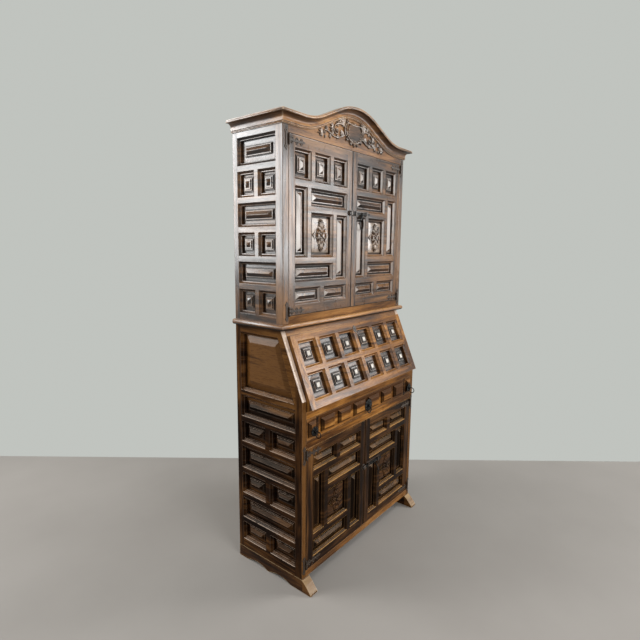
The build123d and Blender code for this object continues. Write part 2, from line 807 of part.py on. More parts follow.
def upper_side_frame():
    left, right, low, high = upper_pocket
    frame = block(0, upper_depth, 0, upper_side_height, 0, upper_side_thickness)
    frame = cut_coffers(frame, upper_coffers, upper_side_thickness)
    return frame - block(left, right, low, high, relief, upper_side_thickness + spare)


def upper_side_panels():
    return coffer_board(upper_pocket, relief, upper_side_thickness, raised_blocks(upper_coffers, relief))


save_pair(on_left_side(upper_side_frame(), upper_foot), "upper_side_frame")
save_pair(on_left_side(upper_side_panels(), upper_foot), "upper_side_panels")


# ---------------------------------------------------------- upper case, inside
def upper_floor():
    """Floor of the upper case, with the rail under its front edge."""
    top = upper_door_foot - upper_floor_drop
    floor = board(-upper_inner, upper_inner, back_thickness, upper_depth, top - shelf_thickness, top)
    rail = board(-upper_inner, upper_inner, upper_depth - base_rail_depth, upper_depth, upper_foot, top)
    return floor + rail


pediment_rear = upper_depth - pediment_thickness
upper_top_height = upper_side_top - upper_top_drop
save(board(-upper_inner, upper_inner, 0, back_thickness, upper_foot, upper_top_height), "upper_back_board")
save(upper_floor(), "upper_floor_board")
shelf_front = upper_depth - upper_shelf_setback
save(group([board(-upper_inner, upper_inner, back_thickness, shelf_front,
                  upper_foot + lift - shelf_thickness, upper_foot + lift)
            for lift in upper_shelf_lifts]), "upper_shelves")
save(board(-upper_inner, upper_inner, back_thickness, pediment_rear,
           upper_top_height - upper_top_board, upper_top_height), "upper_top_board")


# ------------------------------------------------------------- arched cornice
arch_sin = math.sin(math.radians(arch_angle))
arch_cos = math.cos(math.radians(arch_angle))
arch_run = (arch_hollow_radius + arch_crown_radius) * arch_sin + arch_straight * arch_cos
arch_rise = (arch_hollow_radius + arch_crown_radius) * (1 - arch_cos) + arch_straight * arch_sin
crown_top = cornice_end_top + arch_rise


def arch_line(half_width, drop):
    """The cornice's line from end to end, lowered square to itself by drop."""
    hollow_x, hollow_z = -arch_run, cornice_end_top + arch_hollow_radius
    crown_z = crown_top - arch_crown_radius
    hollow, crown = arch_hollow_radius + drop, arch_crown_radius - drop
    half = math.radians(arch_angle / 2)
    a = (hollow_x, 0, cornice_end_top - drop)
    b = (hollow_x + hollow * math.sin(half), 0, hollow_z - hollow * math.cos(half))
    c = (hollow_x + hollow * arch_sin, 0, hollow_z - hollow * arch_cos)
    d = (-crown * arch_sin, 0, crown_z + crown * arch_cos)
    flip = [(-x, y, z) for x, y, z in (d, c, b, a)]
    top = (0, 0, crown_z + crown)
    start, end = (-half_width, 0, a[2]), (half_width, 0, a[2])
    return [Line(start, a), ThreePointArc(a, b, c), Line(c, d), ThreePointArc(d, top, flip[0]),
            Line(flip[0], flip[1]), ThreePointArc(flip[1], flip[2], flip[3]), Line(flip[3], end)]


def cornice_section(plane):
    """Section through the cornice: X is its reach from the case, Y its height."""
    top = cornice_height
    nose_low = top - nose_height
    band_top = nose_low - cove_drop
    groove_low = groove_height - groove_width
    cove_middle = (cove_start + band_reach) / 2 - (cove_start - band_reach) * cove_bulge
    cove_height = (nose_low + band_top) / 2 + cove_drop * cove_bulge
    fillet_reach = cornice_reach - nose_set_back
    nose_reach = cornice_reach - nose_set_back / 2
    nose_top = top - nose_step
    outline = [
        Line((0, top), (fillet_reach, top)),
        Line((fillet_reach, top), (fillet_reach, nose_top)),
        Line((fillet_reach, nose_top), (nose_reach, nose_top)),
        ThreePointArc((nose_reach, nose_top), (cornice_reach, (nose_top + nose_low) / 2),
                      (nose_reach, nose_low)),
        Line((nose_reach, nose_low), (cove_start, nose_low)),
        ThreePointArc((cove_start, nose_low), (cove_middle, cove_height), (band_reach, band_top)),
        Line((band_reach, band_top), (band_reach, groove_height)),
        Line((band_reach, groove_height), (band_reach - groove_depth, groove_height)),
        Line((band_reach - groove_depth, groove_height), (band_reach - groove_depth, groove_low)),
        ThreePointArc((band_reach - groove_depth, groove_low), (band_reach, (groove_low + bead_foot) / 2),
                      (band_reach - groove_depth, bead_foot)),
        Line((band_reach - groove_depth, bead_foot), (band_reach - groove_depth, 0)),
        Line((band_reach - groove_depth, 0), (0, 0)),
        Line((0, 0), (0, top)),
    ]
    return plane * make_face(Wire(outline))


mitre_angle = 45.0


def mitre(across, turn):
    """Tool that cuts away everything beyond a line through the corner, turned from the case's front."""
    size = 2 * case_width
    tool = Box(size, size, size, align=(Align.CENTER, Align.MIN, Align.CENTER))
    return Pos(across, upper_front_y, cornice_end_top) * Rot(0, 0, turn) * tool


def cornice_front():
    """Front length of the cornice, bent over the arch and mitred at its ends."""
    reach = half_case + cornice_reach
    foot = cornice_end_top - cornice_height
    start = Plane(origin=(-reach, upper_front_y, foot), x_dir=(0, -1, 0), z_dir=(-1, 0, 0))
    path = Pos(0, upper_front_y, 0) * Wire(arch_line(reach, cornice_height))
    body = sweep(cornice_section(start), path=path)
    return body - [mitre(-half_case, mitre_angle), mitre(half_case, -mitre_angle)]


def cornice_return():
    """Level length of the cornice along the left side."""
    foot = cornice_end_top - cornice_height
    start = Plane(origin=(-half_case, back_y, foot), x_dir=(-1, 0, 0), z_dir=(0, 1, 0))
    body = extrude(cornice_section(start), amount=upper_depth + cornice_reach, dir=(0, -1, 0))
    return body - mitre(-half_case, 180 + mitre_angle)


def pediment_board():
    """Board under the arch, between the sides."""
    lines = arch_line(upper_inner, pediment_cover)
    left, right = (-upper_inner, 0, pediment_foot), (upper_inner, 0, pediment_foot)
    edge = cornice_end_top - pediment_cover
    lines += [Line((upper_inner, 0, edge), right), Line(right, left), Line(left, (-upper_inner, 0, edge))]
    face = make_face(Wire(lines))
    return Pos(0, upper_front_y, 0) * extrude(face, amount=pediment_thickness, dir=(0, 1, 0))


save(cornice_front(), "cornice_front")
save(group([cornice_return(), other_side(cornice_return())]), "cornice_returns")
save(pediment_board(), "pediment_board")


def pediment_carving():
    """Carved shield on the pediment, with a train of leaves on each side."""
    shield_foot = pediment_foot + shield_lift
    half = shield_width / 2

    def point(share):
        return half * share[0], 0, shield_foot + shield_height * share[1]

    def side(way):
        base, waist, shoulder = [(way * x, z) for x, z in (shield_base, (1, shield_waist), shield_shoulder)]
        lower = ThreePointArc(point((0, 0)), point(base), point(waist))
        return [lower, ThreePointArc(point(waist), point(shoulder), point((0, 1)))]

    shield = make_face(Wire(side(1) + side(-1)))
    body = extrude(shield, amount=shield_thickness, dir=(0, -1, 0))
    leaves = []
    for i in range(scroll_leaves):
        share = i / (scroll_leaves - 1)
        radius = scroll_first + (scroll_last - scroll_first) * share
        height = pediment_foot + scroll_high + (scroll_low - scroll_high) * share
        place = Pos(scroll_start + scroll_reach * share, -scroll_thickness / 2, height)
        leaves.append(place * rod(radius, scroll_thickness, "Y"))
    body = body + leaves + [other_side(leaf) for leaf in leaves]
    return Pos(0, upper_front_y, 0) * body


save(pediment_carving(), "pediment_carving")


# ------------------------------------------------------------------- the doors
def door_openings(outer_stile, width, foot, low_height, carved_height, wide_height):
    left, right = outer_stile, width - door_meeting_stile
    return left, right, pinwheel(left, right, foot, low_height, carved_height, wide_height)


def door_pieces(width, height, plain, carved, place):
    """A left-hand door's frame and its board of coffers, set in place."""
    every = plain + [carved]
    frame = cut_coffers(block(0, width, 0, height, 0, door_thickness), every, door_thickness)
    left, right, low, high = bounds(every, board_lap)
    frame = frame - block(left, right, low, high, relief, door_thickness + spare)
    blocks = raised_blocks(plain, relief) + carved_block(carved, relief)
    panel = coffer_board((left, right, low, high), relief, door_thickness, blocks)
    return place * frame, place * panel


def upper_door():
    width = upper_inner - door_gap / 2 - meeting_gap / 2
    foot = upper_door_bottom_rail + upper_pair_height + door_rail
    carved_height = (upper_door_height - upper_door_top_rail - upper_squares_height - upper_wide_height
                     - upper_low_height - foot - 3 * door_rail)
    left, right, (long_ones, carved, top) = door_openings(
        upper_door_outer_stile, width, foot, upper_low_height, carved_height, upper_wide_height)
    pair = coffer_rows(left, right, upper_door_bottom_rail, door_rail, door_rail,
                       [upper_pair_height], [pair_coffers])
    squares = coffer_rows(left, right, top + door_rail, door_rail, door_mullion,
                          [upper_squares_height], [square_coffers])
    place = Pos(-upper_inner + door_gap / 2, upper_front_y, upper_door_foot)
    return door_pieces(width, upper_door_height, pair + long_ones + squares, carved, place)


def lower_door():
    width = base_inner - door_gap - meeting_gap / 2
    carved_height = (lower_door_height - lower_door_top_rail - lower_pair_height - lower_wide_height
                     - lower_low_height - lower_door_bottom_rail - 3 * door_rail)
    left, right, (long_ones, carved, top) = door_openings(
        lower_door_outer_stile, width, lower_door_bottom_rail, lower_low_height,
        carved_height, lower_wide_height)
    pair = coffer_rows(left, right, top + door_rail, door_rail, door_rail,
                       [lower_pair_height], [pair_coffers])
    place = Pos(-base_inner + door_gap, base_front_y, lower_door_foot)
    return door_pieces(width, lower_door_height, long_ones + pair, carved, place)


for level, pieces in (("upper", upper_door()), ("lower", lower_door())):
    for piece, kind in zip(pieces, ("frame", "panels")):
        save(piece, level + "_left_door_" + kind)
        save(other_side(piece), level + "_right_door_" + kind)


# ----------------------------------------------------------------- door hinges
barrel_stand = barrel_radius + hinge_lift          # pivot line to the wood
barrel_room = barrel_radius + 2 * hinge_lift       # pivot line to a plate's edge
knuckle_length = barrel_length / 3
upper_pivot_x = -upper_inner + door_gap / 4
lower_pivot_x = -base_inner + door_gap / 2


def lobed(plate, places):
    """A flat plate with pierced round lobes added to it."""
    near, far = barrel_stand - iron_thickness, barrel_stand
    middle = (near + far) / 2
    for x, z in places:
        plate += Pos(x, middle, z) * rod(lobe_radius, iron_thickness, "Y")
    return plate - [Pos(x, middle, z) * rod(lobe_hole, 2 * iron_thickness, "Y") for x, z in places]


def hinge_case_side():
    """Plate, outer knuckles and pin of a left-hand hinge, about its pivot."""
    middle_x = -barrel_room - hinge_plate_width / 2
    plate = pointed_plate(hinge_plate_width, hinge_plate_length, hinge_plate_point)
    outline = [(x + middle_x, z) for x, z in plate]
    piece = lobed(prism(outline, barrel_stand - iron_thickness, barrel_stand),
                  [(middle_x - lobe_radius / 2, way * plate_lobe_place) for way in (-1, 1)])
    for way in (-1, 1):
        middle = way * (knuckle_length + knuckle_gap)
        piece += Pos(0, 0, middle) * rod(barrel_radius, knuckle_length, "Z")
        low = middle - knuckle_length / 2
        piece += block(-barrel_room - spare, 0, low, low + knuckle_length,
                       barrel_stand - iron_thickness, barrel_stand - hinge_lift)
    return piece + rod(barrel_pin, barrel_length, "Z")


def hinge_door_side():
    """Strap and middle knuckle of a left-hand hinge, about its pivot."""
    half = strap_height / 2
    outline = [(barrel_room, -half), (strap_length - strap_point, -half), (strap_length, 0),
               (strap_length - strap_point, half), (barrel_room, half)]
    piece = lobed(prism(outline, barrel_stand - iron_thickness, barrel_stand),
                  [(place, way * lobe_radius) for place in strap_lobe_places for way in (-1, 1)])
    piece += rod(barrel_radius, knuckle_length, "Z")
    piece += block(0, barrel_room + spare, -knuckle_length / 2, knuckle_length / 2,
                   barrel_stand - iron_thickness, barrel_stand - hinge_lift)
    return piece - rod(barrel_pin + pivot_gap, barrel_length, "Z")


def hinge_places(pivot_x, front_y, door_foot, door_height, margins):
    heights = (door_foot + margins[0], door_foot + door_height - margins[1])
    return [Pos(pivot_x, front_y - barrel_stand, height) for height in heights]


upper_hinges = hinge_places(upper_pivot_x, upper_front_y, upper_door_foot,
                            upper_door_height, upper_hinge_margins)
lower_hinges = hinge_places(lower_pivot_x, base_front_y, lower_door_foot,
                            lower_door_height, lower_hinge_margins)
case_plates = [place * hinge_case_side() for place in upper_hinges + lower_hinges]
case_plates += [other_side(plate) for plate in case_plates]
save(group(case_plates + [case_leaf(place) for place in leaf_places]), "case_ironwork")


# ------------------------------------------------------- ring handles and eyes
def ears():
    """Pair of round-nosed ears with a pin between them; the pin is at the origin, ears go back in +Y."""
    near = ring_eye_length / 2 + ear_gap
    piece = rod(ring_pin, 2 * (near + ear_thickness), "X")
    for side in (-1, 1):
        middle = Pos(side * (near + ear_thickness / 2), 0, 0)
        piece += middle * rod(ear_reach, ear_thickness, "X")
        piece += middle * Box(ear_thickness, ring_stand, 2 * ear_reach,
                              align=(Align.CENTER, Align.MIN, Align.CENTER))
    return piece


def ring_eye_piece():
    return rod(ring_eye, ring_eye_length, "X")


def eye_bore():
    return rod(ring_pin + pivot_gap, 2 * ring_eye_length, "X")


def standing_ring():
    """Round ring square to the board behind it, hanging under its eye."""
    drop = round_ring + ring_eye - round_ring_bar
    bow = Pos(0, 0, -drop) * Rot(0, 90, 0) * Torus(round_ring, round_ring_bar)
    return ring_eye_piece() + bow - eye_bore()


def neck(bar):
    """Short stem from a ring's eye to its bow, between the ears."""
    length = ear_reach + ear_gap + bar
    return Box(ring_eye_length, 2 * bar, length, align=(Align.CENTER, Align.CENTER, Align.MAX))


def flat_ring(radius, bar):
    """Round ring parallel to the board behind it."""
    drop = radius + bar + ear_reach + ear_gap
    bow = Pos(0, 0, -drop) * Rot(90, 0, 0) * Torus(radius, bar)
    return ring_eye_piece() + neck(bar) + bow - eye_bore()


def oval_ring():
    """Long ring parallel to the board behind it."""
    drop = oval_ring_height / 2 + oval_ring_bar + ear_reach + ear_gap
    path = Plane.XZ * Ellipse(oval_ring_width / 2, oval_ring_height / 2).wire()
    start = path @ 0
    section = Plane(origin=start, z_dir=path % 0) * Circle(oval_ring_bar)
    bow = Pos(0, 0, -drop) * sweep(section, path=path)
    return ring_eye_piece() + neck(oval_ring_bar) + bow - eye_bore()


# ---------------------------------------------------------------------- bolts
bolt_rear = iron_thickness + slide_gap             # door's face to the bolt
bolt_front = bolt_rear + bolt_thickness
bridge_front = bolt_front + slide_gap + staple_cover


def bridge(start, end):
    """A staple over the bolt; Y is outward from the door's face, negative."""
    half = bolt_height / 2 + slide_gap
    outer = half + staple_wall
    body = block(start, end, -outer, outer, -bridge_front, -iron_thickness)
    return body - block(start - spare, end + spare, -half, half, -bridge_front + staple_cover, 0)


def bolt_plate():
    """Plate on the right-hand door and the staples that stand on it."""
    half = bolt_plate_height / 2
    outline = [(bolt_plate_start, -half), (bolt_plate_end, -half), (bolt_plate_end + half, 0),
               (bolt_plate_end, half), (bolt_plate_start, half)]
    staples = [bridge(start, start + staple_width) for start in staple_places]
    return group([prism(outline, -iron_thickness, 0)] + staples)


def bolt_keeper():
    """Staple on the left-hand door that takes the bolt's end."""
    half = bolt_plate_height / 2
    outline = [(-keeper_near + spare, -half), (-keeper_near + spare, half), (-keeper_far, half),
               (-keeper_far - half, 0), (-keeper_far, -half)]
    return prism(outline, -iron_thickness, 0) + bridge(-keeper_far, -keeper_near)


ring_depth = (bolt_rear + bolt_front) / 2 + ear_reach
ring_drop = bolt_height / 2 + bolt_ear_drop


def bolt_bar():
    half = bolt_height / 2
    return block(bolt_tip, bolt_tip + bolt_length, -half, half, -bolt_front, -bolt_rear)


def lever_bolt():
    """The sliding bar with a curved lever that stands out from it."""
    start = (bolt_ring_place, -bolt_rear - bolt_thickness / 2, 0)
    middle = (bolt_ring_place, -lever_reach * lever_bend[0], -lever_drop * lever_bend[1])
    tip = (bolt_ring_place, -lever_reach + lever_knob, -lever_drop + lever_knob)
    path = ThreePointArc(start, middle, tip)
    lever = sweep(Plane(origin=start, z_dir=path % 0) * Circle(lever_bar), path=path)
    return group([bolt_bar(), lever + Pos(*tip) * Sphere(lever_knob) - bolt_bar()])


def ring_bolt():
    """The sliding bar, with ears for its ring fixed in front and underneath."""
    half = bolt_height / 2
    hanging = Pos(bolt_ring_place, -ring_depth, -ring_drop) * Rot(90, 0, 0) * ears()
    reach = bolt_ear_drop - ring_stand
    near = ring_eye_length / 2 + ear_gap
    for side in (-1, 1):
        middle = bolt_ring_place + side * (near + ear_thickness / 2)
        hanging += block(middle - ear_thickness / 2, middle + ear_thickness / 2, -half - reach - spare, half,
                         -ring_depth - ear_reach, -ring_depth + ear_reach)
    return group([bolt_bar(), hanging - bolt_bar()])


upper_bolt_height = upper_door_foot + upper_bolt_lift
lower_bolt_height = lower_door_foot + lower_bolt_lift
for level, height, front_y, hinges, bolt in (
        ("upper", upper_bolt_height, upper_front_y, upper_hinges, ring_bolt()),
        ("lower", lower_bolt_height, base_front_y, lower_hinges, lever_bolt())):
    place = Pos(0, front_y, height)
    straps = [spot * hinge_door_side() for spot in hinges]
    save(group(straps + [place * bolt_keeper()]), level + "_left_door_ironwork")
    right_straps = [other_side(strap) for strap in straps]
    save(group(right_straps + [place * bolt_plate()]), level + "_right_door_ironwork")
    save(place * bolt, level + "_bolt")
bolt_ring_spot = Pos(bolt_ring_place, upper_front_y - ring_depth, upper_bolt_height - ring_drop)
save(bolt_ring_spot * oval_ring(), "upper_bolt_ring")


# ---------------------------------------------------------------------- drawer
drawer_half = guide_inner - door_gap
drawer_rear = base_depth - drawer_front_thickness
box_rear = drawer_rear_space
box_foot = drawer_rail_high + slide_gap
box_top = box_foot + drawer_side_height


def front_block(middle_x, middle_z, width, height):
    """A hipped block standing on the front of the drawer or of a support."""
    left, right = middle_x - width / 2, middle_x + width / 2
    low, high = middle_z - height / 2, middle_z + height / 2
    edge = base_front_y - front_block_plinth
    return [block(left, right, low, high, edge, base_front_y),
            frustum(left, right, low, high, edge, base_front_y - front_block_rise, front_block_slope)]


def drawer_front():
    """Drawer front with a row of hipped blocks."""
    front = board(-drawer_half, drawer_half, drawer_rear, base_depth, front_foot, front_foot + front_height)
    middle_z = front_foot + front_height / 2
    pitch = 2 * drawer_half / drawer_blocks
    blocks = []
    for i in range(drawer_blocks):
        middle = (i - (drawer_blocks - 1) / 2) * pitch
        blocks += front_block(middle, middle_z, pitch - drawer_block_space, drawer_block_height)
    return front + blocks


def drawer_box():
    """Sides, back and bottom of the drawer, as separate boards."""
    inner = drawer_half - drawer_side_thickness
    side = board(-drawer_half, -inner, box_rear, drawer_rear, box_foot, box_top)
    back = board(-inner, inner, box_rear, box_rear + drawer_side_thickness, box_foot, box_top)
    floor = board(-inner, inner, box_rear + drawer_side_thickness, drawer_rear,
                  box_foot + slide_gap, box_foot + slide_gap + drawer_bottom_thickness)
    return group([side, other_side(side), back, floor])


rosette_z = front_foot + front_height / 2 - drawer_pull_drop
rosette_face = base_front_y - front_block_rise
ring_line = rosette_face - rosette_thickness - ring_stand


def rosette_pull(radius):
    """A round plate on the face of a block, with ears for a ring; the face is at Y = 0."""
    plate = Pos(0, -rosette_thickness / 2, 0) * rod(radius, rosette_thickness, "Y")
    return plate + Pos(0, -rosette_thickness - ring_stand, 0) * ears()


stem = Pos(0, front_block_rise / 2, 0) * rod(drawer_rosette_boss, front_block_rise, "Y")
save(drawer_front(), "drawer_front")
save(drawer_box(), "drawer_box")
save(Pos(0, rosette_face, rosette_z) * (rosette_pull(drawer_rosette) + stem), "drawer_rosette")
save(Pos(0, ring_line, rosette_z) * flat_ring(drawer_ring, drawer_ring_bar), "drawer_ring")


# ------------------------------------------------------------ pull-out supports
support_left = -base_inner + door_gap
support_right = -guide_inner - guide_thickness - door_gap


def support():
    """Left support: a bar between its guide and the lining, with a block front."""
    left, right = support_left, support_right
    bar = board(-lining_inner + slide_gap, -guide_inner - guide_thickness - slide_gap,
                support_rear_space, base_depth - support_front_thickness,
                drawer_rail_high + slide_gap, writing_low - door_gap)
    front = board(left, right, base_depth - support_front_thickness, base_depth,
                  front_foot, front_foot + front_height)
    raised = front_block((left + right) / 2, front_foot + front_height / 2,
                         support_block_width, support_block_height)
    return bar + front + raised


support_pull_x = (support_left + support_right) / 2 + support_pull_shift
support_pull_z = front_foot + front_height / 2 - support_pull_drop
support_ring_pose = Pos(support_pull_x, ring_line, support_pull_z) * Rot(-support_ring_tilt, 0, 0)
save_pair(support(), "support")
support_pull_spot = Pos(support_pull_x, rosette_face, support_pull_z)
save_pair(support_pull_spot * rosette_pull(support_rosette), "support_rosette")
save_pair(support_ring_pose * standing_ring(), "support_ring")
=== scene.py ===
import math

import bmesh
import bpy
from mathutils import Matrix, Vector


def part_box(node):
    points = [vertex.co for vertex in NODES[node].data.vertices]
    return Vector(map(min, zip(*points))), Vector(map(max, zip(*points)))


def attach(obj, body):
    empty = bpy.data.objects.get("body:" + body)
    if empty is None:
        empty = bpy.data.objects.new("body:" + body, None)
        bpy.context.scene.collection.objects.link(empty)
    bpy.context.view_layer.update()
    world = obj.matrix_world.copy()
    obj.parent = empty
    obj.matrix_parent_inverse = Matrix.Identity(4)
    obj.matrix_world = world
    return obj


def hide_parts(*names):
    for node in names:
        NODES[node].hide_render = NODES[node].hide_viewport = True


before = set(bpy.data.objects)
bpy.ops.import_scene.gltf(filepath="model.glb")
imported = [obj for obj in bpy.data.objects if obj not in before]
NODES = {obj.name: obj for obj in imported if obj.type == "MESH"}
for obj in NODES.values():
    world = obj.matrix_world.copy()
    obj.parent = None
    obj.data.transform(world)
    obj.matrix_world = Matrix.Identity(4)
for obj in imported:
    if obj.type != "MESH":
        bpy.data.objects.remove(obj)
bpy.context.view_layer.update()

# A tall Spanish writing cabinet in coffered walnut, with forged iron fittings.
# The frame holds its boards, doors and fittings.  This script gives them their
# finishes and adds the carving.  Metres, X across, Y to the back, Z up.

MM = 0.001


# ------------------------------------------------------------ shader building
class Flow:
    """A shader value that turns arithmetic into Math nodes."""

    def __init__(self, nodes, socket):
        self.nodes = nodes
        self.socket = socket

    def _math(self, operation, *values):
        return self.nodes.add("ShaderNodeMath", {"operation": operation}, dict(enumerate(values)))

    def __add__(self, other):
        return self._math("ADD", self, other)

    def __radd__(self, other):
        return self._math("ADD", other, self)

    def __sub__(self, other):
        return self._math("SUBTRACT", self, other)

    def __rsub__(self, other):
        return self._math("SUBTRACT", other, self)

    def __neg__(self):
        return self._math("SUBTRACT", 0.0, self)

    def __mul__(self, other):
        return self._math("MULTIPLY", self, other)

    def __rmul__(self, other):
        return self._math("MULTIPLY", other, self)

    def __pow__(self, other):
        return self._math("POWER", self, other)

    def __abs__(self):
        return self._math("ABSOLUTE", self)

    def above(self, level):
        return self._math("GREATER_THAN", self, level)

    def below(self, level):
        return self._math("LESS_THAN", self, level)

    def most(self, other):
        return self._math("MAXIMUM", self, other)

    def ramp(self, low, high, start=0.0, end=1.0):
        """Runs smoothly from start to end while the value goes from low to high."""
        settings = {"interpolation_type": "SMOOTHSTEP"}
        return self.nodes.add("ShaderNodeMapRange", settings, {0: self, 1: low, 2: high, 3: start, 4: end})


class NodeTree:
    """A tree of shader nodes."""

    def __init__(self, tree):
        self.tree = tree

    def add(self, kind, settings, inputs, output=0):
        """Adds a node: its settings first, then a value or a link for each named socket."""
        node = self.tree.nodes.new(kind)
        for key, value in settings.items():
            if key == "stops":
                self.set_stops(node.color_ramp, value)
            else:
                setattr(node, key, value)
        for key, value in inputs.items():
            if isinstance(value, Flow):
                self.tree.links.new(value.socket, node.inputs[key])
            else:
                node.inputs[key].default_value = value
        return Flow(self, node.outputs[output])

    @staticmethod
    def set_stops(ramp, stops):
        while len(ramp.elements) < len(stops):
            ramp.elements.new(1.0)
        for element, (position, colour) in zip(ramp.elements, stops):
            element.position = position
            element.color = (*colour, 1.0)

    def feed(self, node, socket, flow):
        self.tree.links.new(flow.socket, node.inputs[socket])


class Finish(NodeTree):
    """A material built node by node around one Principled shader."""

    def __init__(self, name, **constants):
        self.material = bpy.data.materials.new(name)
        self.material.use_nodes = True
        super().__init__(self.material.node_tree)
        self.shader = self.tree.nodes["Principled BSDF"]
        for socket, value in constants.items():
            self.shader.inputs[socket.replace("_", " ")].default_value = value
        self.place = self.add("ShaderNodeTexCoord", {}, {}, "Object")

    def to(self, socket, flow):
        self.feed(self.shader, socket, flow)

    def axes(self, vector):
        """The three parts of a vector."""
        parts = self.add("ShaderNodeSeparateXYZ", {}, {0: vector}).socket.node
        return [Flow(self, part) for part in parts.outputs]

    def point(self, x, y, z):
        return self.add("ShaderNodeCombineXYZ", {}, {0: x, 1: y, 2: z})

    def shifted(self, where, amounts):
        return self.add("ShaderNodeVectorMath", {"operation": "ADD"}, {0: where, 1: amounts})

    def noise(self, where, scale, detail=3.0, roughness=0.5, distortion=0.0):
        values = {"Vector": where, "Scale": scale, "Detail": detail, "Roughness": roughness,
                  "Distortion": distortion}
        return self.add("ShaderNodeTexNoise", {}, values)

    def pick(self, factor, first, second):
        """A colour or vector that goes from first to second."""
        return self.add("ShaderNodeMix", {"data_type": "RGBA"}, {0: factor, 6: first, 7: second}, 2)

    def tint(self, colour, amount, strength):
        """Multiplies a colour by another, by a share."""
        settings = {"data_type": "RGBA", "blend_type": "MULTIPLY"}
        return self.add("ShaderNodeMix", settings, {0: strength, 6: colour, 7: amount}, 2)

    def colours(self, value, stops):
        return self.add("ShaderNodeValToRGB", {"stops": stops}, {0: value})

    def hollow(self, reach):
        """1 in the open, towards 0 in corners and recesses."""
        return self.add("ShaderNodeAmbientOcclusion", {"samples": 6}, {"Distance": reach}, "AO")

    def edge(self, reach):
        """1 on outer edges and points, towards 0 on flat faces."""
        settings = {"samples": 6, "inside": True}
        return 1.0 - self.add("ShaderNodeAmbientOcclusion", settings, {"Distance": reach}, "AO")

    def facing(self):
        """The way a face looks, as its three parts."""
        return self.axes(self.add("ShaderNodeNewGeometry", {}, {}, "Normal"))

    def bump(self, height, depth, strength):
        values = {"Height": height, "Distance": depth, "Strength": strength}
        self.to("Normal", self.add("ShaderNodeBump", {}, values))


# ---------------------------------------------------------------- wood and iron
# What a colour is multiplied by in its pores, in painted shade and grime, and in deeper painted shade.
PORE = (0.30, 0.22, 0.18, 1.0)
SHADE_AND_GRIME = (0.20, 0.14, 0.11, 1.0)
DEEP_SHADE = (0.06, 0.045, 0.035, 1.0)

# The tints of a glint on the wood.
CLEAR = (1.0, 1.0, 1.0)
WARM = (1.0, 0.80, 0.56)


def stops(dark, mid, warm, gold):
    return [(0.34, dark), (0.46, mid), (0.57, warm), (0.73, gold)]


# Four shades of the same old polish, from darkest to palest, and plain wood.  Each part takes the shade that
# matches how bright it looks, so the shades hold painted light and shade as well as the wood's own tone.
DARK = stops((0.007, 0.003, 0.002), (0.018, 0.007, 0.003), (0.062, 0.025, 0.008), (0.160, 0.070, 0.020))
BROWN = stops((0.010, 0.004, 0.002), (0.036, 0.014, 0.005), (0.110, 0.046, 0.014), (0.240, 0.110, 0.034))
RUSSET = stops((0.030, 0.011, 0.004), (0.100, 0.040, 0.013), (0.215, 0.090, 0.024), (0.360, 0.165, 0.048))
AMBER = stops((0.070, 0.024, 0.005), (0.200, 0.078, 0.015), (0.340, 0.140, 0.027), (0.500, 0.235, 0.060))
PLAIN = stops((0.090, 0.050, 0.026), (0.140, 0.080, 0.042), (0.200, 0.120, 0.064), (0.270, 0.170, 0.096))

# How much the figure is drawn out along the grain, how fine each pattern is, and how far in from an edge the
# pale marks reach, which are partly wear and partly painted highlight.
ALONG_GRAIN = 0.07
CLOUD_SCALE = 4.2
PATCH_SCALE = 16.0
STREAK_SCALE = 21.0
RUB_SCALE = 24.0
PALE_EDGE_SCALE = 38.0
FIGURE_SCALE = 60.0
PORE_SCALE = 420.0
PALE_EDGE_REACH = 4 * MM


